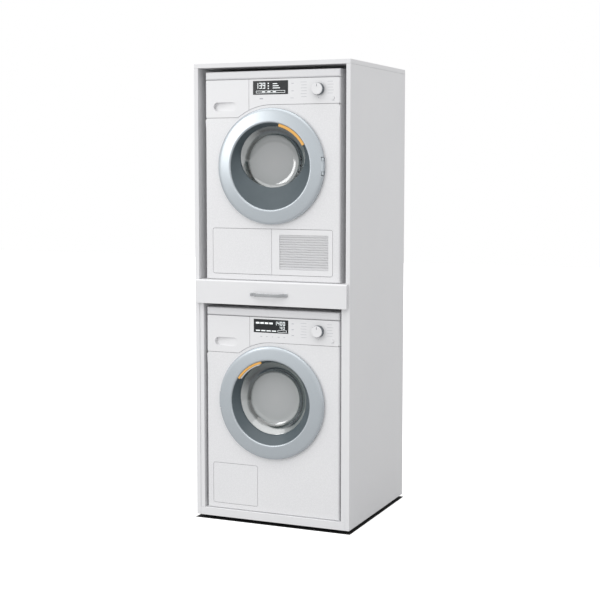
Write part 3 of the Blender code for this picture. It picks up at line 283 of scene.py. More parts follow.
def spun(profile, centre, axis=(0, 1, 0), steps=96):
    """Turns a profile of (radius, distance along the axis) in millimetres about an axis through centre."""
    bm = bmesh.new()
    along = Vector(axis)
    outward = Vector((1, 0, 0)) if along.x == 0 else Vector((0, 0, 1))
    points = [bm.verts.new(Vector(centre) + outward * r * MM + along * a * MM) for r, a in profile]
    lines = [bm.edges.new(pair) for pair in zip(points, points[1:])]
    if profile[0][0] != 0 or profile[-1][0] != 0:
        lines.append(bm.edges.new((points[-1], points[0])))
    ring = {"cent": centre, "axis": along, "angle": 2 * math.pi, "steps": steps, "use_merge": True}
    bmesh.ops.spin(bm, geom=points + lines, **ring)
    bmesh.ops.remove_doubles(bm, verts=bm.verts, dist=0.000002)
    bmesh.ops.recalc_face_normals(bm, faces=bm.faces)
    return bm


def cut_plate(loops, start, end, across="Y"):
    """A plate from an outline and its holes, in metres, between two places along Y or Z."""
    bm = bmesh.new()
    for loop in loops:
        points = [bm.verts.new((u, start, v) if across == "Y" else (u, v, start)) for u, v in loop]
        for pair in zip(points, points[1:] + points[:1]):
            bm.edges.new(pair)
    bmesh.ops.triangle_fill(bm, use_beauty=True, use_dissolve=False, edges=bm.edges)
    raised = bmesh.ops.extrude_face_region(bm, geom=bm.faces)["geom"]
    push = (0, end - start, 0) if across == "Y" else (0, 0, end - start)
    bmesh.ops.translate(bm, vec=push, verts=[v for v in raised if isinstance(v, bmesh.types.BMVert)])
    bmesh.ops.recalc_face_normals(bm, faces=bm.faces)
    return bm


def block(low, high):
    """A cuboid between two corners, from the cube operator."""
    bm = bmesh.new()
    bmesh.ops.create_cube(bm, size=1.0)
    bmesh.ops.scale(bm, vec=[b - a for a, b in zip(low, high)], verts=bm.verts)
    bmesh.ops.translate(bm, vec=[(a + b) / 2 for a, b in zip(low, high)], verts=bm.verts)
    return bm


def rounded_edges(bm, radius, segments=3, keep=lambda edge: True):
    """Bevels the sharp edges that pass a test."""
    sharp = [
        edge
        for edge in bm.edges
        if len(edge.link_faces) == 2 and edge.calc_face_angle(0) > SHARP and keep(edge)
    ]
    cut = {"offset": radius * MM, "segments": segments, "profile": 0.5, "affect": "EDGES"}
    bmesh.ops.bevel(bm, geom=sharp, material=-1, clamp_overlap=True, **cut)
    return bm


def merged(*parts):
    """One bmesh from several, which stay separate shells of one piece."""
    first = parts[0]
    for other in parts[1:]:
        spare = mesh_from("spare", other)
        first.from_mesh(spare)
        bpy.data.meshes.remove(spare)
    return first


def piece(name, bm, material, body, stands_for=(), crease=35):
    """Makes a bmesh an object that rides on a body, smooth up to a crease angle."""
    for face in bm.faces:
        face.smooth = True
    mesh = mesh_from(name, bm)
    mesh.set_sharp_from_angle(angle=math.radians(crease))
    mesh.materials.append(material)
    made = placed(name, mesh)
    made.modifiers.new("even shading", "WEIGHTED_NORMAL").keep_sharp = True
    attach(made, body)
    if stands_for:
        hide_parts(*stands_for)
    return made


def arc(cx, cz, radius, start, end, steps):
    """Points of an arc, its angles in degrees from +X towards +Z."""
    turns = [math.radians(start + (end - start) * i / steps) for i in range(steps + 1)]
    return [(cx + radius * math.cos(t), cz + radius * math.sin(t)) for t in turns]


def soft_rectangle(x0, z0, x1, z1, radius, steps=6):
    """A rectangle with round corners, anticlockwise from its lower left."""
    corners = ((x0 + radius, z0 + radius, 180), (x1 - radius, z0 + radius, 270))
    corners += ((x1 - radius, z1 - radius, 0), (x0 + radius, z1 - radius, 90))
    return [point for cx, cz, start in corners for point in arc(cx, cz, radius, start, start + 90, steps)]


print("spin, plate and block helpers ready")


# %% [markdown]
# ## Floor and light
#
# A pale floor carries a tight shadow under the cabinet, painted as a near-black sheet. The light is a large
# soft lamp in front and to the left, so the right-hand side falls into a light shade, with a bright surround
# to fill.

# %% Studio
SHADE_MARGIN = 0.005


def stage_sheet(name, low, high, height, material):
    """A flat sheet of the set between two corners, no part of the object."""
    bm = bmesh.new()
    bmesh.ops.create_grid(bm, x_segments=1, y_segments=1, size=0.5)
    for v in bm.verts:
        v.co = (low[0] if v.co.x < 0 else high[0], low[1] if v.co.y < 0 else high[1], height)
    mesh = mesh_from(name, bm)
    mesh.materials.append(material)
    placed(name, mesh)


floor_paper, tree, shader, place = finish(
    "studio_paper", "#FBFBFB", 0.9, Emission_Color=(1, 1, 1, 1), Emission_Strength=0.35
)
bounce = add(tree, "ShaderNodeBsdfDiffuse", {"Color": linear("#ACACAC")})
looked_at = add(tree, "ShaderNodeLightPath")
choice = {0: looked_at.outputs["Is Camera Ray"], 1: bounce.outputs[0], 2: shader.outputs[0]}
either = add(tree, "ShaderNodeMixShader", links=choice)
tree.links.new(either.outputs[0], tree.nodes["Material Output"].inputs["Surface"])
stage_sheet("floor", (-14, -14), (14, 14), 0, floor_paper)

# Painted shadow: a near-black sheet where no light reaches under the cabinet, with a thin dark line round it
foot_low, foot_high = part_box("cabinet_left_side")[0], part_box("cabinet_right_side")[1]
shade_low = [value - SHADE_MARGIN for value in foot_low]
shade_high = [value + SHADE_MARGIN for value in foot_high]
stage_sheet("floor_shade", shade_low, shade_high, 0.0003, finish("shaded_floor", "#0A0A0A", 0.9)[0])

world = bpy.data.worlds.new("studio")
bpy.context.scene.world = world
world.use_nodes = True
surround = world.node_tree.nodes["Background"]
surround.inputs["Color"].default_value = (0.994, 0.997, 1.0, 1.0)
surround.inputs["Strength"].default_value = 0.865
paper = add(world.node_tree, "ShaderNodeBackground", {"Color": (1, 1, 1, 1), "Strength": 1.0})
seen = add(world.node_tree, "ShaderNodeLightPath")
choice = {0: seen.outputs["Is Camera Ray"], 1: surround.outputs[0], 2: paper.outputs[0]}
backdrop = add(world.node_tree, "ShaderNodeMixShader", links=choice)
world.node_tree.links.new(backdrop.outputs[0], world.node_tree.nodes["World Output"].inputs["Surface"])


def soft_lamp(name, place, aim, width, height, power):
    """A rectangular lamp that faces a point."""
    lamp = placed(name, bpy.data.lights.new(name, "AREA"))
    lamp.data.shape = "RECTANGLE"
    lamp.data.size, lamp.data.size_y = width, height
    lamp.data.energy = power
    lamp.location = place
    lamp.rotation_euler = (Vector(aim) - Vector(place)).to_track_quat("-Z", "Y").to_euler()
    return lamp


soft_lamp("key_lamp", (-2.7, -4.2, 2.3), (0, 0, 1.0), 1.1, 1.7, 22)
low_lamp = soft_lamp("low_lamp", (-1.6, -4.6, 0.5), (0, 0, 0.5), 3.0, 0.9, 16)
low_lamp.visible_glossy = False
sky = placed("sky_lamp", bpy.data.lights.new("sky_lamp", "SUN"))
sky.data.energy = 1.2
sky.data.angle = math.radians(75)
sky.rotation_euler = (math.radians(22), math.radians(-10), 0)
print("floor, two soft lamps in front and a wide one overhead")


# %% [markdown]
# ## Cabinet boards
#
# The boards are panels of melamine-faced chipboard. A cut board has a sharp edge until it gets its band, a
# millimetre of plastic that is glued on and rounded over. So each board is a block whose edges are eased,
# and its front edge carries a band of its own, a hair proud of the joint line.

# %% Boards with edge bands


def paint(name, material):
    """Gives a frame node one finish."""
    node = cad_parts[name]
    node.data.materials.clear()
    node.data.materials.append(material)


def ease_edges(name, radius):
    """Welds a frame node and rounds its sharp edges, as tumbling or deburring does."""
    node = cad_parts[name]
    weld = node.modifiers.new("weld", "WELD")
    weld.merge_threshold = 0.00001
    bevel = node.modifiers.new("eased edges", "BEVEL")
    bevel.width = radius * MM
    bevel.segments = 2
    bevel.limit_method = "ANGLE"
    bevel.angle_limit = SHARP


BAND, GLUE_LINE = 0.0012, 0.00015
BOARDS = ["cabinet_left_side", "cabinet_right_side", "cabinet_top", "cabinet_base", "cabinet_shelf"]
BOARDS += ["carrier_panel_left", "carrier_panel_right"]

for name in BOARDS:
    low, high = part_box(name)
    core = rounded_edges(block((low[0], low[1] + BAND + GLUE_LINE, low[2]), high), 0.5, 2)
    band = rounded_edges(block(low, (high[0], low[1] + BAND, high[2])), 0.6, 3)
    piece(f"banded_{name}", merged(core, band), melamine, "cabinet", [name])
print(len(BOARDS), "banded boards")

# %% Pull-out tray
CHAMFER = 5.0
TRAY_SIDE, TRAY_WALL, TRAY_FLOOR = 0.010, 0.012, 0.008
SLIDE_WIDE, SLIDE_HALF_HIGH, SLIDE_DROP, SLIDE_START = 0.0115, 0.015, 0.0022, 0.010

low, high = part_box("tray_front")
front_board = block(low, high)
upper_front = [
    edge
    for edge in front_board.edges
    if all(v.co.z > high[2] - NEAR and v.co.y < low[1] + NEAR for v in edge.verts)
]
bmesh.ops.bevel(
    front_board, geom=upper_front, offset=CHAMFER * MM, segments=1, profile=0.5, affect="EDGES", material=-1
)
rounded_edges(front_board, 0.8, 3)
piece("tray_front_board", front_board, melamine, "tray", ["tray_front"])

low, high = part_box("tray_box")
tray = block((low[0] + TRAY_SIDE, low[1], low[2]), (high[0] - TRAY_SIDE, high[1], high[2]))
lids = [f for f in tray.faces if f.normal.z > 0.9]
bmesh.ops.inset_individual(tray, faces=lids, thickness=TRAY_WALL, depth=0.0)
bmesh.ops.translate(tray, vec=(0, 0, low[2] + TRAY_FLOOR - high[2]), verts=lids[0].verts)
rounded_edges(tray, 0.6, 2)
slide_z = (low[2] + high[2]) / 2 - SLIDE_DROP
slides = []
for start_x, end_x in ((low[0], low[0] + SLIDE_WIDE), (high[0] - SLIDE_WIDE, high[0])):
    slide_low = (start_x, low[1] + SLIDE_START, slide_z - SLIDE_HALF_HIGH)
    slide = block(slide_low, (end_x, high[1], slide_z + SLIDE_HALF_HIGH))
    slides.append(rounded_edges(slide, 0.8, 2))
piece("tray_box_and_slides", merged(tray, *slides), melamine, "tray", ["tray_box"])
print("tray with its front board and slides")


# %% [markdown]
# ## Feet
#
# Each foot is a low nylon disc pressed on a screw. It is turned: a flat sole with a small radius, a waist,
# and a collar under the base board.

# %% Feet
for name in ("foot_front_left", "foot_front_right", "foot_back_left", "foot_back_right"):
    low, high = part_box(name)
    tall = (high[2] - low[2]) / MM
    radius = (high[0] - low[0]) / 2 / MM
    profile = [(0, 0), (radius - 1.5, 0), (radius - 0.4, 0.5), (radius, 1.6), (radius, 5.2)]
    profile += [(radius - 0.8, 6.2), (radius - 5, 7.2), (radius - 6, 8.5), (radius - 6, tall), (0, tall)]
    centre = ((low[0] + high[0]) / 2, (low[1] + high[1]) / 2, 0)
    piece(f"nylon_{name}", spun(profile, centre, (0, 0, 1), 40), black_plastic, "cabinet", [name])
print("four nylon feet")


# %% [markdown]
# ## Bow handle
#
# The tray's handle is one flat strap, bent into a shallow bow: two pads that lie on the front board, two
# slopes, and a straight bar for the fingers. Drawn as an outline seen from above and raised to the strap's
# width, it takes a bevel all round, as a tumbled and plated strap has.

# %% Handle of the tray
STRAP = 0.0046
PAD_START, SLOPE, PAD_SHARE = 0.90, 0.30, 0.20
STATIONS = 28

low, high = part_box("tray_handle")
half_length = (high[0] - low[0]) / 2
face, reach = high[1], high[1] - low[1]


def bow(share):
    """How far the strap's front stands off, as a share of its reach, at a share of the half length."""
    slope = min(max((PAD_START - share) / SLOPE, 0.0), 1.0)
    return PAD_SHARE + (1 - PAD_SHARE) * (3 * slope**2 - 2 * slope**3)


stations = [i / STATIONS * 2 - 1 for i in range(STATIONS + 1)]
outer = [(half_length * s, face - reach * bow(abs(s))) for s in stations]
inner = [(x * 0.985, min(y + STRAP, face)) for x, y in outer]
handle = cut_plate([outer + inner[::-1]], low[2], high[2], "Z")
rounded_edges(handle, 1.3, 3, lambda edge: abs(edge.verts[0].co.z - edge.verts[1].co.z) < 0.0001)
piece("bow_handle", handle, plated, "tray", ["tray_handle"], 50)
print("bow handle", round(2 * half_length / MM), "mm long")


# %% [markdown]
# ## Lids and fronts
#
# Each machine's skin is made of flush panels with a narrow seam between them. The lid is a moulded frame,
# the front is enamelled sheet with a round port, and the fascia above the door is moulded ABS whose lower
# edge runs round the door. All of them share the same soft radius down their outer corners, so light runs
# straight from one to the next.

# %% Outlines shared by both machines
SEAM, DOOR_GAP = 0.0015, 0.013
PIN_INSET, PIN_DEPTH = 0.007, 0.011
CORNER = 7.0


class Machine:
    """Places of one machine, read from its nodes."""

    def __init__(self, prefix):
        self.prefix = prefix
        lid_low, lid_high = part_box(f"{prefix}_lid")
        self.half = lid_high[0]
        self.face = lid_low[1]
        self.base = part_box(f"{prefix}_housing")[0][2]
        self.centre = middle(f"{prefix}_door_glass")
        self.origin = Vector((self.centre.x, self.face, self.centre.z))
        self.hinge_side = -1 if prefix == "washer" else 1
        self.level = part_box(f"{prefix}_front_panel")[1][2] + SEAM
        self.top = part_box(f"{prefix}_control_panel")[1][2]
        ring_low, ring_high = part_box(f"{prefix}_door_ring")
        self.ring = (ring_high[2] - ring_low[2]) / 2
        self.curve = self.ring + DOOR_GAP
        self.pin = (self.hinge_side * (self.ring - PIN_INSET), self.face - PIN_DEPTH, self.centre.z)

    def rim(self, grow, start_x, end_x, steps):
        """The fascia's curved lower edge round the door, between two places across."""
        radius = self.curve + grow
        start = math.degrees(math.acos(start_x / radius))
        end = math.degrees(math.acos(end_x / radius))
        return arc(0, self.centre.z, radius, start, end, steps)

    def rim_x(self, height, grow=0.0):
        """Half the curve's width at a height."""
        return math.sqrt(max((self.curve + grow) ** 2 - (height - self.centre.z) ** 2, 0.0))

    def soften(self, bm):
        """Rounds the two outer corners widely, then every edge of the face finely."""
        side, face = self.half - 0.0005, self.face

        def at_corner(edge):
            return all(abs(v.co.x) > side and abs(v.co.y - face) < NEAR for v in edge.verts)

        rounded_edges(bm, CORNER, 5, at_corner)
        rounded_edges(bm, 0.7, 2, lambda e: all(v.co.y < face + (CORNER + 0.1) * MM for v in e.verts))


washer = Machine("washer")
dryer = Machine("dryer")
print("door centres at", round(washer.centre.z, 4), "and", round(dryer.centre.z, 4))

# %% Lids
for machine in (washer, dryer):
    name = machine.prefix
    lid = block(*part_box(f"{name}_lid"))
    machine.soften(lid)
    piece(f"{name}_top_lid", lid, lid_white_painted_shade, "cabinet", [f"{name}_lid"])
print("two lids")

# %% Front panels
PORT_RADIUS, CATCH_RADIUS = 0.172, 0.2055
CATCH_HALF_WIDE, CATCH_HALF_HIGH = 0.0060, 0.013
OPENING_CORNER = 0.0095
front_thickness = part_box("washer_front_panel")[1][1] - washer.face


def opening_round(names):
    """The hole that a flap and its neighbours fill, one seam wider than they are."""
    boxes = [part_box(name) for name in names]
    x0, z0 = (min(box[0][i] for box in boxes) - SEAM for i in (0, 2))
    x1, z1 = (max(box[1][i] for box in boxes) + SEAM for i in (0, 2))
    return soft_rectangle(x0, z0, x1, z1, OPENING_CORNER)


for machine, fillers in ((washer, ["washer_filter_flap"]), (dryer, ["dryer_plinth_flap", "dryer_grille"])):
    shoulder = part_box(f"{machine.prefix}_front_panel")[0][2]
    drawer = "washer_detergent_drawer" if machine is washer else "dryer_water_drawer"
    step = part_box(drawer)[0][2] - SEAM
    top = machine.level - SEAM
    outline = [(-machine.half, shoulder), (machine.half, shoulder), (machine.half, top)]
    outline += machine.rim(-SEAM, machine.rim_x(top, -SEAM), -machine.rim_x(step, -SEAM), 40)
    outline.append((-machine.half, step))
    port = arc(0, machine.centre.z, PORT_RADIUS, 0, 360, 96)[:-1]
    x, z = -machine.hinge_side * CATCH_RADIUS, machine.centre.z
    slot_low = (x - CATCH_HALF_WIDE, z - CATCH_HALF_HIGH)
    slot = soft_rectangle(*slot_low, x + CATCH_HALF_WIDE, z + CATCH_HALF_HIGH, 0.002, 3)
    loops = [outline, port, opening_round(fillers), slot]
    front = cut_plate(loops, machine.face, machine.face + front_thickness)
    machine.soften(front)
    name = machine.prefix
    piece(f"{name}_enamelled_front", front, enamel, "cabinet", [f"{name}_front_panel"])
print("two enamelled fronts with ports of", round(2 * PORT_RADIUS / MM), "mm")

# %% [markdown]
# ## Fascias and drawers
#
# The fascia's left end is the front of a drawer: detergent in the washer, condensed water in the dryer. Its
# grip is a pill-shaped dip that is deep at the left and runs out flush at the right. Behind it hangs an
# open box, made from a block whose upper faces are inset and pushed down.

# %% Fascias
SPINDLE_HOLE, KEY_HOLE = 0.0044, 0.0064
fascia_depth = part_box("washer_control_panel")[1][1] - washer.face

for machine in (washer, dryer):
    name = machine.prefix
    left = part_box(f"{name}_control_panel")[0][0]
    window_low, window_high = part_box(f"{name}_display")
    window = soft_rectangle(window_low[0], window_low[2], window_high[0], window_high[2], 0.0012, 3)
    knob_centre, key_centre = middle(f"{name}_knob"), middle(f"{name}_start_button")
    spindle = arc(knob_centre.x, knob_centre.z, SPINDLE_HOLE, 0, 360, 24)[:-1]
    key_hole = arc(key_centre.x, key_centre.z, KEY_HOLE, 0, 360, 32)[:-1]
    outline = [(left, machine.top)] + machine.rim(0, left, machine.rim_x(machine.level), 24)
    outline += [(machine.half, machine.level), (machine.half, machine.top)]
    fascia = cut_plate([outline, window, spindle, key_hole], machine.face, machine.face + fascia_depth)
    machine.soften(fascia)
    piece(f"{name}_fascia", fascia, abs_white, "cabinet", [f"{name}_control_panel"])
print("two fascias")

# %% Drawers at the fascia's left end
PILL_X, PILL_DROP, PILL_HALF, PILL_RADIUS = -0.209, 0.108, 0.034, 0.018
GRIP_TOP, GRIP_BACK, GRIP_SHALLOW, GRIP_FALL, GRIP_TILT = 0.0012, 0.016, 0.0008, 0.0136, 0.0010
ROOM_DEPTH, ROOM_WALL = 0.046, 0.003
BOX_LEFT, BOX_RIGHT, BOX_BEHIND, BOX_FROM_TOP, BOX_TO_FLOOR = 0.009, 0.006, 0.009, 0.008, 0.058


def pill(machine):
    """The grip's outline."""
    z = machine.top - PILL_DROP
    right_end = arc(PILL_X + PILL_HALF, z, PILL_RADIUS, -90, 90, 16)
    return right_end + arc(PILL_X - PILL_HALF, z, PILL_RADIUS, 90, 270, 16)


def grip_floor(machine):
    """The dip's floor, deepest at its upper left, running out towards the lower right."""
    dip = cut_plate([pill(machine)], machine.face + GRIP_TOP, machine.face + GRIP_BACK)
    reach = PILL_HALF + PILL_RADIUS
    for v in dip.verts:
        if v.co.y < machine.face + (GRIP_TOP + GRIP_BACK) / 2:
            across = (v.co.x - PILL_X + reach) / (2 * reach)
            up = (v.co.z - machine.top + PILL_DROP) / PILL_RADIUS
            v.co.y = machine.face + GRIP_SHALLOW + GRIP_FALL * (1 - across) + GRIP_TILT * (1 + up)
    return dip


def drawer_box(machine, name, rooms):
    """The open box behind the drawer's front, with one or two rooms."""
    low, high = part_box(name)
    box_low = (low[0] + BOX_LEFT, machine.face + BOX_BEHIND, high[2] - BOX_TO_FLOOR)
    box_high = (high[0] - BOX_RIGHT, high[1], high[2] - BOX_FROM_TOP)
    box = block(box_low, box_high)
    if rooms == 2:
        half_way = ((box_low[0] + box_high[0]) / 2, 0, 0)
        everything = box.verts[:] + box.edges[:] + box.faces[:]
        bmesh.ops.bisect_plane(box, geom=everything, plane_co=half_way, plane_no=(1, 0, 0))
    lids = [f for f in box.faces if f.normal.z > 0.9]
    bmesh.ops.inset_individual(box, faces=lids, thickness=ROOM_WALL, depth=0.0)
    for lid in lids:
        bmesh.ops.translate(box, vec=(0, 0, -ROOM_DEPTH), verts=lid.verts)
        near = min(v.co.y for v in lid.verts)
        for v in lid.verts:
            if v.co.y < near + 0.001:
                v.co.y = machine.face + fascia_depth + ROOM_WALL
    return rounded_edges(box, 1.2, 2)


for machine, body, rooms in ((washer, "detergent_drawer", 2), (dryer, "water_drawer", 1)):
    name = f"{machine.prefix}_{body}"
    low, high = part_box(name)
    step, right = low[2], high[0]
    outline = [(-machine.half, machine.top), (-machine.half, step)]
    outline += machine.rim(0, -machine.rim_x(step), right, 10) + [(right, machine.top)]
    front = cut_plate([outline, pill(machine)], machine.face, machine.face + fascia_depth)
    machine.soften(front)
    whole = merged(front, grip_floor(machine), drawer_box(machine, name, rooms))
    piece(f"{machine.prefix}_drawer_front_and_box", whole, abs_white, body, [name])
print("two drawers, the washer's with two rooms")

# %% [markdown]
# ## Displays
#
# A display is a dark glass set flush in the fascia. Its figures are generic: seven-segment numbers, dots
# and short bars. Each segment is a thin bar with the glow of a backlit print.

# %% Displays
display_glass = patterned("smoked_display_glass", "#232527", 0.16, gloss=(0.10, 0.24, NOISE, 18, 3.0))
glow = {"Emission_Color": linear("#EAF0F2"), "Emission_Strength": 0.35}
lit_print = patterned("backlit_figures", "#F2F5F6", 0.5, gloss=(0.42, 0.58, NOISE, 2), **glow)

# Which bars light up in each digit that is used
SEGMENTS = {"0": "abcdef", "1": "bc", "3": "abgcd", "4": "fgbc", "9": "abcdfg"}


def figure_bar(low, high, y):
    """One lit bar on a display, between two corners (x, z)."""
    return block((low[0], y - 0.00015, low[1]), (high[0], y + 0.0003, high[1]))


def seven_segments(digit, x, z, wide, tall, line, y):
    """The bars of one seven-segment digit whose lower left corner is at x, z."""
    mid = z + tall / 2
    bars = {
        "a": ((x, z + tall - line), (x + wide, z + tall)),
        "b": ((x + wide - line, mid), (x + wide, z + tall)),
        "c": ((x + wide - line, z), (x + wide, mid)),
        "d": ((x, z), (x + wide, z + line)),
        "e": ((x, z), (x + line, mid)),
        "f": ((x, mid), (x + line, z + tall)),
        "g": ((x, mid - line / 2), (x + wide, mid + line / 2)),
    }
    return [figure_bar(*bars[s], y) for s in SEGMENTS[digit]]


def outlined_bar(x0, z0, x1, z1, line, y):
    """Four thin bars that frame a rectangle."""
    sides = [((x0, z0), (x1, z0 + line)), ((x0, z1 - line), (x1, z1))]
    sides += [((x0, z0), (x0 + line, z1)), ((x1 - line, z0), (x1, z1))]
    return [figure_bar(*corners, y) for corners in sides]


def bar_row(count, x, z, wide, tall, y, across=0.0, up=0.0):
    """Equal bars, each one step across and up from the last."""
    starts = [(x + across * i, z + up * i) for i in range(count)]
    return [figure_bar(start, (start[0] + wide, start[1] + tall), y) for start in starts]


def digit_row(text, x, z, step, wide, tall, line, y):
    """A number, one digit after another."""
    digits = [seven_segments(d, x + step * i, z, wide, tall, line, y) for i, d in enumerate(text)]
    return [bar for bars in digits for bar in bars]


def dryer_figures(x, z, y):
    """A three-figure time, lamps, a level and a progress bar, from the display's lower left."""
    bars = digit_row("139", x + 0.012, z + 0.024, 0.0155, 0.0115, 0.023, 0.0026, y)
    bars += bar_row(3, x + 0.066, z + 0.022, 0.005, 0.0045, y, up=0.010)
    for i, length in enumerate((0.032, 0.026, 0.020)):
        bars += bar_row(1, x + 0.088, z + 0.024 + 0.0085 * i, length, 0.0030, y)
    bars += outlined_bar(x + 0.014, z + 0.006, x + 0.142, z + 0.0155, 0.0014, y)
    return bars + bar_row(3, x + 0.040, z + 0.009, 0.014, 0.0035, y, across=0.024)


def washer_figures(x, z, y):
    """A spin speed, a temperature and two rows of lamps, from the display's lower left."""
    bars = digit_row("1400", x + 0.094, z + 0.033, 0.0125, 0.0090, 0.015, 0.0021, y)
    bars += digit_row("40", x + 0.118, z + 0.0165, 0.0125, 0.0085, 0.012, 0.0018, y)
    bars += bar_row(4, x + 0.010, z + 0.036, 0.016, 0.007, y, across=0.020)
    bars += bar_row(4, x + 0.010, z + 0.006, 0.019, 0.0045, y, across=0.024)
    return bars + outlined_bar(x + 0.108, z + 0.004, x + 0.148, z + 0.0130, 0.0012, y)


for machine in (washer, dryer):
    name = machine.prefix
    low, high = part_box(f"{name}_display")
    pane = rounded_edges(block(low, high), 0.4, 2)
    piece(f"{name}_display_pane", pane, display_glass, "cabinet", [f"{name}_display"])
    figures = washer_figures if machine is washer else dryer_figures
    bars = figures(low[0], low[2], low[1])
    piece(f"{name}_display_figures", merged(*bars), lit_print, "cabinet")
    print(name, "display with", len(bars), "lit bars")

# %% [markdown]
# ## Knob, start key and printed marks
#
# The selector knob is a white cap on a satin collar, turned in two pieces. The fascia's print is pale grey:
# ticks beside the knob, symbols for touch keys, and a bar at the start key. Real names of programmes are
# left out, and plain bars stand in their places.

# %% Knobs and keys
collar_paint = patterned("satin_collar", "#6F757A", 0.30, 0.75, gloss=(0.24, 0.40, NOISE, 1.5, 3.0))
POINTER_HALF, POINTER_START, POINTER_END = 0.0009, 0.009, 0.0195

for machine in (washer, dryer):
    name = machine.prefix
    low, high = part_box(f"{name}_knob")
    spot = middle(f"{name}_knob")
    centre = (spot.x, low[1], spot.z)
    tall, radius = (machine.face - low[1]) / MM, (high[0] - low[0]) / 2 / MM
    cap = [(0, 0.6), (radius - 7, 0.3), (radius - 3.4, 0), (radius - 2.2, 0.5), (radius - 1.6, 1.6)]
    cap += [(radius - 1.6, 4.2), (0, 4.2)]
    pointer_low = (spot.x - POINTER_HALF, low[1] - 0.0001, spot.z + POINTER_START)
    pointer_high = (spot.x + POINTER_HALF, low[1] + 0.002, spot.z + POINTER_END)
    pointer = rounded_edges(block(pointer_low, pointer_high), 0.3, 2)
    collar = [(0, 3.8), (radius - 1.8, 3.8), (radius - 1.2, 4.0), (radius - 0.4, 5.4), (radius, tall - 3.0)]
    collar += [(radius, tall - 1.4), (radius - 0.8, tall - 0.8), (4.0, tall - 0.8)]
    collar += [(4.0, tall + 21), (0, tall + 21)]
    body = f"{name}_knob"
    piece(f"{name}_knob_collar", spun(collar, centre), collar_paint, body, [f"{name}_knob"])
    piece(f"{name}_knob_cap", spun(cap, centre), abs_white, body)
    piece(f"{name}_knob_pointer", pointer, collar_paint, body)
    body = f"{name}_start_button"
    low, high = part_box(body)
    spot = middle(body)
    deep = (high[1] - low[1]) / MM
    key = [(0, 0.5), (3.2, 0.25), (4.9, 0), (5.6, 0.3), (6.0, 1.0), (6.0, deep - 2.5)]
    key += [(8.5, deep - 2.5), (8.5, deep), (0, deep)]
    centre = (spot.x, low[1], spot.z)
    piece(f"{name}_start_key", spun(key, centre, steps=40), abs_white, body, [body])
print("knobs and start keys")

# %% Printed marks
print_grey = patterned("pale_grey_print", "#B4B6BA", 0.5, tint=("#ACAEB3", "#C2C4C8", NOISE, 1.2))

# Each mark: its left end from the middle, its drop from the fascia's top, its width and its height
SHARED_MARKS = []
for i in range(6):
    odd, drop = i % 2, 0.016 + 0.0115 * i
    SHARED_MARKS.append((0.128 + 0.003 * odd, drop, 0.026 - 0.003 * odd, 0.0012))
    if i < 5:
        SHARED_MARKS.append((0.244, drop, 0.022 + 0.004 * odd, 0.0012))
SHARED_MARKS += [(0.262, 0.0915, 0.012, 0.0012), (0.2045, 0.0790, 0.0030, 0.0030)]
OWN_MARKS = {
    "washer": [(-0.052 + 0.026 * i, 0.078, 0.009 - 0.002 * (i % 3), 0.0022) for i in range(5)]
    + [(0.088, 0.020 + 0.024 * i, 0.011, 0.0024) for i in range(3)],
    "dryer": [(-0.052, 0.078, 0.015, 0.0050), (0.084, 0.078, 0.014, 0.0018)]
    + [(0.088, 0.020 + 0.030 * i, 0.010, 0.0022) for i in range(2)],
}
PRINT_PROUD, PRINT_SUNK = 0.00012, 0.0004

for machine in (washer, dryer):
    marks = []
    for x, drop, wide, high in SHARED_MARKS + OWN_MARKS[machine.prefix]:
        z = machine.top - drop
        mark_low = (x, machine.face - PRINT_PROUD, z - high / 2)
        marks.append(block(mark_low, (x + wide, machine.face + PRINT_SUNK, z + high / 2)))
    piece(f"{machine.prefix}_printed_marks", merged(*marks), print_grey, "cabinet")
print("printed marks on both fascias")

# %% [markdown]
# ## Flaps and grille
#
# Low on each front a flap closes flush. Its back is hollow with a lip all round, made by an inset that is
# pushed forward. Beside the dryer's flap an air intake has slanting blades, which let air in and hide the
# dark behind them; a pale wall closes the duct.

# %% Flaps
FLAP_CORNER, FLAP_LIP, FLAP_HOLLOW = 0.008, 0.0035, 0.0068


def partly_round(low, high, round_left, round_right):
    """An outline whose left or right corners are round, anticlockwise from its lower left."""
    x0, z0, x1, z1 = low[0], low[2], high[0], high[2]
    corners = ((x0, z0, 1, 1, 180, round_left), (x1, z0, -1, 1, 270, round_right))
    corners += ((x1, z1, -1, -1, 0, round_right), (x0, z1, 1, -1, 90, round_left))
    outline = []
    for x, z, right, up, start, is_round in corners:
        cx, cz = x + right * FLAP_CORNER, z + up * FLAP_CORNER
        outline += arc(cx, cz, FLAP_CORNER, start, start + 90, 6) if is_round else [(x, z)]
    return outline


def ease_face(bm, y):
    """Rounds the edges of a plate's front face finely."""
    return rounded_edges(bm, 0.8, 2, lambda e: all(v.co.y < y + 0.0001 for v in e.verts))


def flap_panel(node, round_left, round_right):
    """A flap with a hollow back and a lip."""
    low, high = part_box(node)
    flap = cut_plate([partly_round(low, high, round_left, round_right)], low[1], high[1])
    rear = [f for f in flap.faces if f.normal.y > 0.9]
    bmesh.ops.inset_region(flap, faces=rear, thickness=FLAP_LIP, depth=0.0, use_even_offset=True)
    hollow = {v for f in rear for v in f.verts}
    bmesh.ops.translate(flap, vec=(0, -FLAP_HOLLOW, 0), verts=list(hollow))
    return ease_face(flap, low[1])


service_flap = flap_panel("washer_filter_flap", True, True)
piece("washer_service_flap", service_flap, enamel, "filter_flap", ["washer_filter_flap"])
lower_flap = flap_panel("dryer_plinth_flap", True, False)
piece("dryer_lower_flap", lower_flap, enamel, "plinth_flap", ["dryer_plinth_flap"])
dot = [(0, 0), (3.2, 0), (3.6, 0.3), (3.6, 1.2), (0, 1.2)]
latch_dot = spun(dot, (-0.037, dryer.face - 0.0003, dryer.base + 0.123), steps=24)
piece("dryer_flap_latch_mark", latch_dot, abs_white, "plinth_flap")
print("two flaps")

# %% Air intake
BLADES = 14
BLADE_HALF_THICK, BLADE_HALF_DEEP, BLADE_LEAN = 0.0011, 0.0049, math.radians(32)

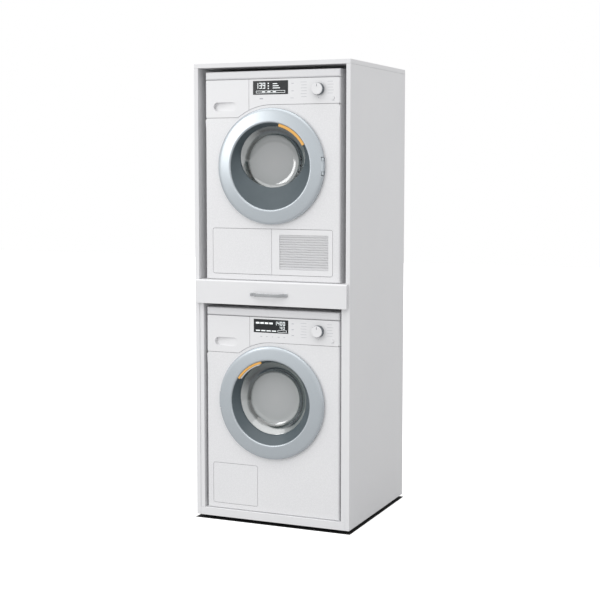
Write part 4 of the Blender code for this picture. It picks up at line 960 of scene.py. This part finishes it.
low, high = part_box("dryer_grille")
window = (0.034, dryer.base + 0.049, 0.248, dryer.base + 0.1895)
loops = [partly_round(low, high, False, True), soft_rectangle(*window, 0.0015, 3)]
grille = cut_plate(loops, low[1], high[1])
ease_face(grille, low[1])
blades = []
pitch = (window[3] - window[1]) / BLADES
lean = Matrix.Rotation(BLADE_LEAN, 3, "X")
for i in range(BLADES):
    blade_low = (window[0] - 0.0004, -BLADE_HALF_THICK, -BLADE_HALF_DEEP)
    blade = block(blade_low, (window[2] + 0.0004, BLADE_HALF_THICK, BLADE_HALF_DEEP))
    rounded_edges(blade, 0.5, 2, lambda e: abs(e.verts[0].co.x - e.verts[1].co.x) > 0.1)
    bmesh.ops.rotate(blade, cent=(0, 0, 0), matrix=lean, verts=blade.verts)
    bmesh.ops.translate(blade, vec=(0, low[1] + 0.0046, window[1] + pitch * (i + 0.5)), verts=blade.verts)
    blades.append(blade)
wall_low = (window[0] - 0.003, low[1] + 0.0090, window[1] - 0.003)
wall = block(wall_low, (window[2] + 0.003, high[1], window[3] + 0.003))
piece("dryer_air_intake", merged(grille, wall, *blades), abs_white, "cabinet", ["dryer_grille"])
print("air intake with", BLADES, "blades")


# %% [markdown]
# ## Door rings
#
# Each door is a silver ring over a charcoal frame. The ring is a thin moulded shell, turned from a closed
# profile: a rolled outer edge, a broad face with a slight dome, and a small radius into the window. The
# frame behind it runs on as a funnel to the glass. The glass sits a little above the ring's centre, so the
# funnel is sheared upwards, more so on the dryer, where it is the deep lower part that catches the light.

# %% Ring, frame and glass profiles (radius, distance behind the machine's face) in millimetres
RING_SHELL = [(232, -2.4), (234.2, -5.2), (235, -8.5), (234.4, -11.8), (232.6, -14.6), (229.6, -16.8)]
RING_SHELL += [(225, -18.1), (218, -18.9), (205, -20), (192, -21.1), (183, -21.8), (179.8, -21.9)]
RING_SHELL += [(177.6, -21.2), (176, -19.6), (175.1, -17.8), (174.8, -15.6), (176.8, -15.4), (177.4, -17.6)]
RING_SHELL += [(178.8, -19.4), (183, -19.8), (205, -18), (222, -16), (229.4, -13.6), (232.2, -8.5)]
RING_SHELL += [(231, -4.6), (230.4, -2.4)]
DOOR_FRAME = [(174.6, -16.4), (169.5, -10), (161, 1), (153.5, 10.5), (150.4, 15.8), (150.8, 17.4)]
DOOR_FRAME += [(152.6, 17.6), (156.2, 13), (164.5, 3), (169, -2.2), (226, -2.2), (229.2, -3.6)]
DOOR_FRAME += [(229.2, -9.5), (226.5, -12.6), (222, -14.8), (205, -17.4), (190, -18.8), (181, -18.3)]
DOOR_FRAME += [(176.6, -17)]
GLASS_BOWL = [(0, 53.4), (84, 53.2), (94, 52.5), (102, 51.2), (109, 49), (114.5, 46), (118.5, 42)]
GLASS_BOWL += [(127, 34), (138, 25.5), (146, 20.6), (151.2, 18.4), (153, 18.6), (153, 20.4), (147.4, 23.2)]
GLASS_BOWL += [(139.6, 28.4), (129, 37), (121.5, 44.4), (117, 49), (110.5, 52.4), (102.6, 54.6), (94, 55.8)]
GLASS_BOWL += [(84, 56.5), (0, 56.6)]

# Where the glass sits from the ring's centre (right and up, metres), and how its circle is stretched there:
# first the frame's mouth, then the bowl's floor
MOUTH = {"washer": (-0.002, 0.0145, 0.985, 1.0), "dryer": (-0.002, 0.0395, 0.950, 0.812)}
FLOOR = {"washer": (-0.007, 0.0095, 1.0, 1.0), "dryer": (-0.010, 0.0180, 0.975, 0.92)}
MOUTH_RADIUS, FLOOR_EDGE, WINDOW = 0.1535, 0.1180, 0.1746


def between(a, b, share):
    """A row of values partway from one row to another."""
    return [p + (q - p) * share for p, q in zip(a, b)]


def shear_up(bm, machine):
    """Moves and stretches what is inside the ring: not at all at the window, fully at the mouth and floor."""
    centre = machine.centre
    for v in bm.verts:
        x, z = v.co.x - centre.x, v.co.z - centre.z
        radius = math.hypot(x, z)
        outer = min(max((WINDOW - radius) / (WINDOW - MOUTH_RADIUS), 0.0), 1.0)
        inner = min(max((MOUTH_RADIUS - radius) / (MOUTH_RADIUS - FLOOR_EDGE), 0.0), 1.0)
        place = between((0, 0, 1, 1), MOUTH[machine.prefix], outer)
        place = between(place, FLOOR[machine.prefix], inner)
        v.co.x, v.co.z = centre.x + x * place[2] + place[0], centre.z + z * place[3] + place[1]
    return bm


def carved(bm, cutters):
    """Cuts blocks away from a solid with exact Booleans, and gives back a bmesh."""
    solid = placed("solid", mesh_from("solid", bm))
    knives = [placed("knife", mesh_from("knife", block(low, high))) for low, high in cutters]
    for knife in knives:
        cut = solid.modifiers.new("cut", "BOOLEAN")
        cut.object = knife
        cut.solver = "EXACT"
    graph = bpy.context.evaluated_depsgraph_get()
    done = bpy.data.meshes.new_from_object(solid.evaluated_get(graph))
    result = bmesh.new()
    result.from_mesh(done)
    for helper in [solid] + knives:
        bpy.data.objects.remove(helper)
    return result


def hinge_room(machine):
    """The blocks that a ring gives up to its hinge: a pocket in two steps, and a slot for each lug."""
    side = machine.hinge_side
    x, y, z = machine.pin

    def room(outward, front, low, high):
        """From 13 mm inside the pin to some way outside it, and from a place in front to well behind."""
        near, far = sorted((x - side * 0.013, x + side * outward))
        return (near, y + front, z + low), (far, y + 0.05, z + high)

    return [
        room(0.0052, -0.0066, -0.037, 0.037),
        room(0.0200, 0.0036, -0.037, 0.037),
        room(0.0200, -0.0052, 0.0214, 0.0348),
        room(0.0200, -0.0052, -0.0348, -0.0214),
    ]


# %% Turn the two doors
for machine in (washer, dryer):
    name, body = machine.prefix, f"{machine.prefix}_door"
    hollows = hinge_room(machine)
    shell = carved(spun(RING_SHELL, machine.origin, steps=144), hollows)
    piece(f"{name}_silver_ring", shell, flake_paint, body, [f"{name}_door_ring"], 40)
    door_frame = carved(shear_up(spun(DOOR_FRAME, machine.origin, steps=144), machine), hollows)
    piece(f"{name}_door_frame", door_frame, frame_plastic, body, crease=30)
print("two rings and their frames")

# %% [markdown]
# ## Glass
#
# The bowl is pressed borosilicate glass, thick and clear. Its bands are painted light and shade rather than
# refraction: a painted dark band where the wall turns into the floor, painted light where the wall would
# gather light from the steel drum behind, and a pale floor disc of painted light from the lit drum. A finish
# that follows the distance from the bowl's axis draws those bands, stronger on one side than on the other, as
# painted light on one side and painted shade on the other, and a slow noise keeps them from being perfect
# circles. Partial alpha lets the drum show through, and a heavy coat gives sharp reflections in the glass.

# %% Pressed glass
RAMP_MM = 160


def banded(tree, radius, bands):
    """A colour ramp over the distance from the axis, in millimetres."""
    ramp = add(tree, "ShaderNodeValToRGB", links={"Fac": radius})
    steps = ramp.color_ramp.elements
    steps[0].position, steps[1].position = bands[0][0] / RAMP_MM, bands[-1][0] / RAMP_MM
    steps[0].color, steps[1].color = linear(bands[0][1]), linear(bands[-1][1])
    for distance, colour in bands[1:-1]:
        steps.new(distance / RAMP_MM).color = linear(colour)
    return ramp.outputs["Color"]


def glass_with_painted_light(machine, painted_light_toward, painted_pale_bands, painted_dark_bands):
    """Bowl glass for one door, its bands painted light and shade, the pale painted light towards one side."""
    coat = {"Coat_Weight": 1.0, "Coat_Roughness": 0.04, "Coat_IOR": 2.3}
    material, tree, shader, place = finish(
        f"{machine.prefix}_glass_with_painted_light", "#9BA3A5", 0.07, Alpha=0.80, IOR=1.52, **coat
    )
    right, up = FLOOR[machine.prefix][:2]
    axis = (-machine.centre.x - right, 0, -machine.centre.z - up)
    centred = add(tree, "ShaderNodeMapping", {"Location": axis, "Scale": (1, 0, 1)}, {"Vector": place})
    ripple = add(tree, "ShaderNodeTexNoise", {"Scale": per_mm(55), "Detail": 3.0}, {"Vector": place})
    waver = {"To Min": -0.0045, "To Max": 0.0045}
    swell = add(tree, "ShaderNodeMapRange", waver, {"Value": ripple.outputs["Fac"]})
    length = add(tree, "ShaderNodeVectorMath", links={0: centred.outputs["Vector"]}, operation="LENGTH")
    terms = {0: length.outputs["Value"], 1: swell.outputs["Result"]}
    uneven = add(tree, "ShaderNodeMath", links=terms, operation="ADD")
    radius = add(tree, "ShaderNodeMapRange", {"From Max": RAMP_MM * MM}, {"Value": uneven.outputs["Value"]})
    heading = add(tree, "ShaderNodeVectorMath", links={0: centred.outputs["Vector"]}, operation="NORMALIZE")
    towards = {0: heading.outputs["Vector"]}
    facing = add(tree, "ShaderNodeVectorMath", {1: painted_light_toward}, towards, operation="DOT_PRODUCT")
    fade = {"From Min": 0.10, "From Max": 0.60}
    side = add(tree, "ShaderNodeMapRange", fade, {"Value": facing.outputs["Value"]})
    sides = {
        "Factor": side.outputs["Result"],
        "A": banded(tree, radius.outputs["Result"], painted_dark_bands),
        "B": banded(tree, radius.outputs["Result"], painted_pale_bands),
    }
    tint = add(tree, "ShaderNodeMix", links=sides, data_type="RGBA")
    tree.links.new(tint.outputs["Result"], shader.inputs["Base Color"])
    return material


# Bands of painted light and shade (distance from the axis in millimetres, colour): the floor's disc, then
# each side's wall, pale with painted light on one side and dark with painted shade on the other
# The floor's disc is painted light, the lit drum seen through the glass, paler on the washer
DISC_PAINTED_LIGHT = {
    "washer": ((0, "#C0C2C3"), (60, "#BBBEBF"), (104, "#B2B6B6")),
    "dryer": ((0, "#ADAFB0"), (60, "#A9ACAD"), (104, "#A2A6A6")),
}
PALE_PAINTED_LIGHT = ((109, "#8B9292"), (112, "#2E3735"), (117, "#232C2A"), (121, "#5C6564"), (126, "#BCC0C0"))
PALE_PAINTED_LIGHT += ((150, "#C6C9C9"),)
DARK_PAINTED_SHADE = ((108, "#979E9E"), (111, "#2B3434"), (115, "#5C6869"), (122, "#46525A"), (129, "#191F21"))
DARK_PAINTED_SHADE += ((136, "#4C585A"), (150, "#66726F"))
# The direction across each bowl in which the bands turn to pale painted light
PAINTED_LIGHT_DIRECTION = {"washer": (-0.66, 0, -0.75), "dryer": (-0.97, 0, -0.24)}
for machine in (washer, dryer):
    name = machine.prefix
    glass = glass_with_painted_light(machine, PAINTED_LIGHT_DIRECTION[name], DISC_PAINTED_LIGHT[name] + PALE_PAINTED_LIGHT, DISC_PAINTED_LIGHT[name] + DARK_PAINTED_SHADE)
    bowl = shear_up(spun(GLASS_BOWL, machine.origin, steps=120), machine)
    piece(f"{name}_glass_bowl", bowl, glass, f"{name}_door", [f"{name}_door_glass"], 60)
print("two glass bowls")

# %% A column of black dots on the right wall of the dryer's bowl: painted shade where the drum's holes show dark through the glass
SHADE_DOT = [(0, -4), (1.6, -3.7), (2.9, -2.8), (3.7, -1.5), (4, 0)]
SHADE_DOT += [(3.7, 1.5), (2.9, 2.8), (1.6, 3.7), (0, 4)]
WALL_RADIUS, WALL_DEPTH = 0.127, 0.0340
shade_dots = []
for rise in (0.020, 0.004, -0.022, -0.050, -0.068):
    across = math.sqrt(WALL_RADIUS**2 - rise**2)
    shade_dots.append(spun(SHADE_DOT, dryer.origin + Vector((across, WALL_DEPTH, rise)), steps=20))
piece("dryer_glass_shade_dots", shear_up(merged(*shade_dots), dryer), black_plastic, "dryer_door", crease=60)
print("five dimples")

# %% [markdown]
# ## Inserts, screws and catch
#
# A small amber insert marks where each door is gripped. It is a partly turned strip, closed at both ends.
# On the back of each frame sit pan-head screws and the hook that the catch in the front panel holds.

# %% Coloured inserts


def curved_strip(machine, profile, start, end):
    """Turns a closed profile through part of a circle round the door's centre, angles from +X up."""
    bm = bmesh.new()
    outward = Vector((math.cos(math.radians(start)), 0, math.sin(math.radians(start))))
    along = Vector((0, 1, 0))
    points = [bm.verts.new(machine.origin + outward * r * MM + along * a * MM) for r, a in profile]
    lines = [bm.edges.new(pair) for pair in zip(points, points[1:] + points[:1])]
    sweep = -math.radians(end - start)
    bmesh.ops.spin(bm, geom=points + lines, cent=machine.origin, axis=along, angle=sweep, steps=40)
    ends = [edge for edge in bm.edges if len(edge.link_faces) == 1]
    bmesh.ops.holes_fill(bm, edges=ends, sides=len(profile))
    bmesh.ops.recalc_face_normals(bm, faces=bm.faces)
    return bm


outer_strip = [(174.5, -18.9), (173.6, -19.8), (167, -19.2), (165.8, -17.9), (168, -9.6), (174.4, -15.4)]
inner_strip = [(165.6, -15.6), (164.8, -16.4), (162, -16), (161.4, -14.8), (163, -2.6), (166.6, -7.6)]
wide_strip = [(174.5, -18.9), (173.6, -19.8), (164.4, -19), (163.2, -17.7), (165.8, -8.6), (174.4, -15.4)]
piece("dryer_amber_insert", curved_strip(dryer, wide_strip, 30, 76.5), amber, "dryer_door")
piece("washer_amber_insert", curved_strip(washer, outer_strip, 104, 146.5), amber, "washer_door")
piece("washer_pale_insert", curved_strip(washer, inner_strip, 107, 145), abs_white, "washer_door")
print("three inserts")

# %% Screws, hooks and knuckles
hardware = grained_metal("zinc_hardware", "#B9BCBE", 0.30, 1.0, (1, 1, 1), 0.12)


def pan_head(spot, size, facing):
    """A pan-head screw with a cross slot's dimple, standing on a spot and facing along Y."""
    dome = [(0, 0.55), (0.16, 0.6), (0.22, 0.95), (0.6, 0.9), (0.88, 0.66), (1.0, 0.34), (1.0, 0.0), (0, 0.0)]
    return spun([(r * size, a * size * facing * 0.6) for r, a in dome], spot, steps=20)


SCREW_CIRCLE = 0.199
HOOK_HALF_WIDE, HOOK_HALF_HIGH, HOOK_REACH = 0.0035, 0.010, 0.011
FRAME_BACK = 0.0022
KNUCKLE = [(3.4, -20.4), (5.3, -20.4), (5.7, -20), (5.7, 20), (5.3, 20.4), (3.4, 20.4)]

for machine in (washer, dryer):
    name, body = machine.prefix, f"{machine.prefix}_door"
    back, z = machine.face - FRAME_BACK, machine.centre.z
    heads = []
    for x, height in arc(0, z, SCREW_CIRCLE, 30, 330, 5):
        heads.append(pan_head((x, back - 0.0001, height), 2.6, 0.55))
    piece(f"{name}_door_screws", merged(*heads), hardware, body)
    x = -machine.hinge_side * CATCH_RADIUS
    hook_low = (x - HOOK_HALF_WIDE, back - 0.002, z - HOOK_HALF_HIGH)
    hook = block(hook_low, (x + HOOK_HALF_WIDE, machine.face + HOOK_REACH, z + HOOK_HALF_HIGH))
    piece(f"{name}_door_hook", rounded_edges(hook, 1.2, 3), hardware, body)
    x, y, z = machine.pin
    knuckle = spun(KNUCKLE, machine.pin, (0, 0, 1), 32)
    web = block((x - 0.0034, y - 0.0072, z - 0.0200), (x + 0.0034, y - 0.0040, z + 0.0200))
    piece(f"{name}_hinge_knuckle", merged(knuckle, web), flake_paint, body)
    ease_edges(f"{name}_door_hinge", 0.3)
    paint(f"{name}_door_hinge", flake_paint)
print("screws, hooks and knuckles")

# %% [markdown]
# ## Drums
#
# A drum is rolled from perforated stainless sheet. Its holes are drawn by the finish: a map laid round the
# wall gives each point its distance round and along the drum, and a regular pattern on that map dents the
# surface and darkens each hole with painted shade, for the dark gap that shows through a hole. Real holes are
# 3 mm across; here they are 5 mm, 20 mm apart, so that they show.

# %% Perforated steel
perforated, tree, shader, place = finish("perforated_stainless", "#C6C8C8", 0.26, 1.0)
sheet = add(tree, "ShaderNodeUVMap", uv_map="around")
rows = {"Scale": per_mm(20), "Randomness": 0.0}
holes = add(tree, CELLS, rows, {"Vector": sheet.outputs["UV"]}, voronoi_dimensions="2D")
hole_edge = {"From Min": 0.10, "From Max": 0.16}
mask = add(tree, "ShaderNodeMapRange", hole_edge, {"Value": holes.outputs["Distance"]})
# Each hole's near-black is painted shade, for the dark gap between drum and tub that a hole shows
tints = {"A": linear("#26282A"), "B": linear("#C6C8C8")}
steel_with_hole_shade = add(tree, "ShaderNodeMix", tints, {"Factor": mask.outputs["Result"]}, data_type="RGBA")
depth = {"Strength": 0.5, "Distance": 0.001}
dents = add(tree, "ShaderNodeBump", depth, {"Height": mask.outputs["Result"]})
tree.links.new(steel_with_hole_shade.outputs["Result"], shader.inputs["Base Color"])
tree.links.new(dents.outputs["Normal"], shader.inputs["Normal"])


def map_around(obj, centre, radius):
    """A UV map that measures each face corner round the drum and along it, in metres."""
    layer = obj.data.uv_layers.new(name="around")
    for face in obj.data.polygons:
        flat = abs(face.normal.y) > 0.7
        base = math.atan2(face.center.z - centre.z, face.center.x - centre.x)
        for corner in face.loop_indices:
            spot = obj.data.vertices[obj.data.loops[corner].vertex_index].co - centre
            turn = math.atan2(spot.z, spot.x)
            turn += 2 * math.pi * round((base - turn) / (2 * math.pi))
            layer.data[corner].uv = (spot.x, spot.z) if flat else (turn * radius, spot.y)


def drum_profile(radius, front, back, mouth, shaft, end):
    """The sheet drum's section from the middle of its back out to its rolled mouth and home again."""
    inside = radius - 3
    section = [(0, back - 4), (inside - 34, back - 3), (inside - 10, back - 6), (inside - 2.5, back - 13)]
    section += [(inside, back - 24), (inside, front + 18), (inside - 3, front + 8)]
    section += [(inside - 16, front + 4.6), (mouth + 3, front + 3.4), (mouth + 0.6, front + 2.6)]
    section += [(mouth, front + 1.5), (mouth + 0.6, front + 0.4), (mouth + 3, front)]
    section += [(radius - 14, front + 1.8), (radius - 3, front + 7), (radius, front + 18)]
    section += [(radius, back - 22), (radius - 4, back - 8), (radius - 14, back - 1), (radius - 40, back + 1)]
    return section + [(46, back + 4), (34, back + 5), (shaft, back + 5), (shaft, end), (0, end)]


RIB_TALL, RIB_WIDE, RIB_TAPER, RIB_DRAW_IN = 0.040, 0.058, 0.42, 0.014


def lifter(machine, radius, angle, front, back):
    """A moulded rib on the drum's wall, a block whose top is drawn in and rounded."""
    rib = block((-RIB_WIDE / 2, front, radius - RIB_TALL), (RIB_WIDE / 2, back, radius - 0.0012))
    half_way = radius - RIB_TALL / 2
    for v in rib.verts:
        if v.co.z < half_way:
            v.co.x *= RIB_TAPER
            v.co.y += RIB_DRAW_IN if v.co.y < (front + back) / 2 else -RIB_DRAW_IN
    rounded_edges(rib, 5.0, 4, lambda e: any(v.co.z < half_way for v in e.verts))
    turn = Matrix.Rotation(math.radians(angle), 3, "Y")
    bmesh.ops.rotate(rib, cent=(0, 0, 0), matrix=turn, verts=rib.verts)
    bmesh.ops.translate(rib, vec=machine.origin, verts=rib.verts)
    return rib


# Each drum in millimetres: its radius, front, back, mouth, shaft and shaft's end, and its first rib's angle
DRUMS = {
    "washer": (238.0, 112.0, 455.0, 150.0, 14.5, 560.0, 60.0),
    "dryer": (275.0, 54.0, 510.0, 215.5, 12.0, 586.0, 30.0),
}
CAP = [(0, -6.5), (30, -6.5), (60, -5.4), (74, -4.4), (76, -2.6), (0, -2.6)]
for machine in (washer, dryer):
    name, body = machine.prefix, f"{machine.prefix}_drum"
    *sizes, first_rib = DRUMS[name]
    radius, front, back = sizes[:3]
    sheet_drum = spun(drum_profile(*sizes), machine.origin, steps=120)
    drum = piece(f"{name}_sheet_drum", sheet_drum, perforated, body, [f"{name}_drum"], 40)
    map_around(drum, machine.origin, radius * MM)
    rib_front, rib_back = (front + 32) * MM, (back - 36) * MM
    turns = [first_rib + 120 * i for i in range(3)]
    ribs = [lifter(machine, (radius - 3) * MM, turn, rib_front, rib_back) for turn in turns]
    piece(f"{name}_drum_ribs", merged(*ribs), stainless, body, crease=50)
    cap = spun([(r, back + a) for r, a in CAP], machine.origin, steps=64)
    piece(f"{name}_drum_back_cap", cap, stainless, body)
    print(name, "drum of", round(2 * radius), "mm with three ribs")

# %% [markdown]
# ## Gasket and bearing ring
#
# The washer's door closes on a folded rubber sleeve, and the dryer's drum turns on a moulded ring with a
# felt band. Both are turned, and both show when the doors are open.

# %% Gasket and bulkhead
sleeve = [(183, 21), (178, 20.6), (172, 24), (166, 29), (163.4, 34), (164.4, 39), (170, 44), (174.6, 50)]
sleeve += [(174.8, 56), (170, 62), (163, 67), (160.4, 73), (161.6, 79), (166, 86), (167.6, 91)]
sleeve += [(164.6, 91.6), (162.8, 87.4), (158.6, 80.2), (157.4, 73), (160.6, 65), (167.8, 59.6)]
sleeve += [(171.8, 55), (171.6, 51.4), (167.6, 46.4), (161.6, 41), (160.4, 34), (163.6, 27.2)]
sleeve += [(170.6, 21.4), (178, 18.8), (183, 18.8)]
gasket = spun(sleeve, washer.origin, steps=120)
piece("washer_folded_gasket", gasket, rubber, "cabinet", ["washer_door_gasket"], 60)

ring = [(172.4, 19), (173.2, 18.6), (279, 18.6), (280, 19.6), (280, 22.6), (279, 23.4), (212, 24)]
ring += [(210.5, 25.4), (210.5, 62.6), (209.2, 64), (206, 64), (204.6, 62.6), (204, 32), (200, 28)]
ring += [(176, 27.6), (173, 26.6), (172.2, 24.6)]
bearing = spun(ring, dryer.origin, steps=120)
piece("dryer_bearing_ring", bearing, abs_white, "cabinet", ["dryer_bulkhead"], 45)
print("gasket and bearing ring")

# %% [markdown]
# ## Hidden works
#
# Tub, motors, belts, pump and dampers are only glimpsed, but they are part of the machine. Their solids are
# right as they are, so they only get their finishes: cast aluminium, zinc, rubber and glass-filled nylon.

# %% Finishes of the works
WORKS = {
    enamel: ["washer_housing", "dryer_housing"],
    tub_plastic: ["washer_tub", "dryer_heat_exchanger"],
    cast: ["washer_motor", "dryer_motor", "washer_drum_pulley"],
    hardware: ["washer_motor_pulley", "dryer_motor_rotor", "tray_runner_left", "tray_runner_right"],
    black_plastic: ["washer_damper_left", "washer_damper_right", "washer_drain_pump", "washer_drain_filter"],
    belt_rubber: ["washer_belt", "dryer_belt"],
    spangle: ["washer_rear_cover", "dryer_rear_cover"],
}
for material, names in WORKS.items():
    for name in names:
        paint(name, material)
print(sum(len(names) for names in WORKS.values()), "nodes of the works finished")

# %% [markdown]
# ## Backs of the machines
#
# The cabinet has no back, so the machines' rear covers show: zinc sheet with a pressed ring, screws round
# the edge, louvres on the dryer, a water inlet, a drain elbow and the inlet for the mains lead.

# %% Rear fittings
EDGE = 0.006
LOUVRE_HALF, LOUVRE_LEAN = 0.11, Matrix.Rotation(math.radians(-24), 3, "X")
BEAD = [(150, 0.2), (154, 1.6), (160, 2.4), (166, 1.6), (170, 0.2), (166, 0.1), (154, 0.1)]


def louvre(z, y):
    """One pressed louvre, a bevelled strip that leans out."""
    strip = block((-LOUVRE_HALF, y, z - 0.0045), (LOUVRE_HALF, y + 0.0016, z + 0.0045))
    bmesh.ops.rotate(strip, cent=(0, y, z), matrix=LOUVRE_LEAN, verts=strip.verts)
    return rounded_edges(strip, 0.5, 2)


for machine in (washer, dryer):
    name = machine.prefix
    low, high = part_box(f"{name}_rear_cover")
    y = high[1]
    left, right, lowest, highest = low[0] + EDGE, high[0] - EDGE, low[2] + EDGE, high[2] - EDGE
    spots = [(x, lowest + (highest - lowest) * i / 4) for i in range(5) for x in (left, right)]
    spots += [(low[0] + (high[0] - low[0]) * i / 4, z) for i in (1, 2, 3) for z in (lowest, highest)]
    heads = [pan_head((x, y + 0.0001, z), 3.4, 1.0) for x, z in spots]
    piece(f"{name}_cover_screws", merged(*heads), hardware, "cabinet")
    bead = spun(BEAD, (0, y, machine.centre.z), steps=96)
    piece(f"{name}_pressed_bead", bead, spangle, "cabinet")
    inlet = block((0.165, y, machine.base + 0.715), (0.225, y + 0.016, machine.base + 0.745))
    piece(f"{name}_mains_inlet", rounded_edges(inlet, 2.0, 3), black_plastic, "cabinet")

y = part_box("dryer_rear_cover")[1][1] + 0.001
slats = [louvre(dryer.base + 0.190 + 0.016 * i, y) for i in range(5)]
piece("dryer_rear_louvres", merged(*slats), spangle, "cabinet")
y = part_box("washer_rear_cover")[1][1]
thread = [(0, 0.2), (12.5, 0.2), (12.5, 4), (10.4, 4.4)]
for i in range(5):
    thread += [(r, start + 2.4 * i) for r, start in ((10.4, 5.6), (11.6, 6.4), (11.6, 7.0), (10.4, 7.6))]
thread += [(9.6, 19.5), (7.2, 19.5), (7.2, 6.0), (0, 6.0)]
inlet = spun(thread, (-0.205, y, washer.base + 0.730), steps=40)
piece("washer_water_inlet", inlet, tub_plastic, "cabinet")
elbow = [(0, 0.2), (17, 0.2), (17, 5), (12, 6.5), (11.2, 22), (12.2, 24)]
elbow += [(12.2, 26), (9.4, 26), (9.4, 8), (0, 8)]
drain = spun(elbow, (0.205, y, washer.base + 0.160), steps=40)
piece("washer_drain_elbow", drain, black_plastic, "cabinet")
print("rear fittings on both machines")
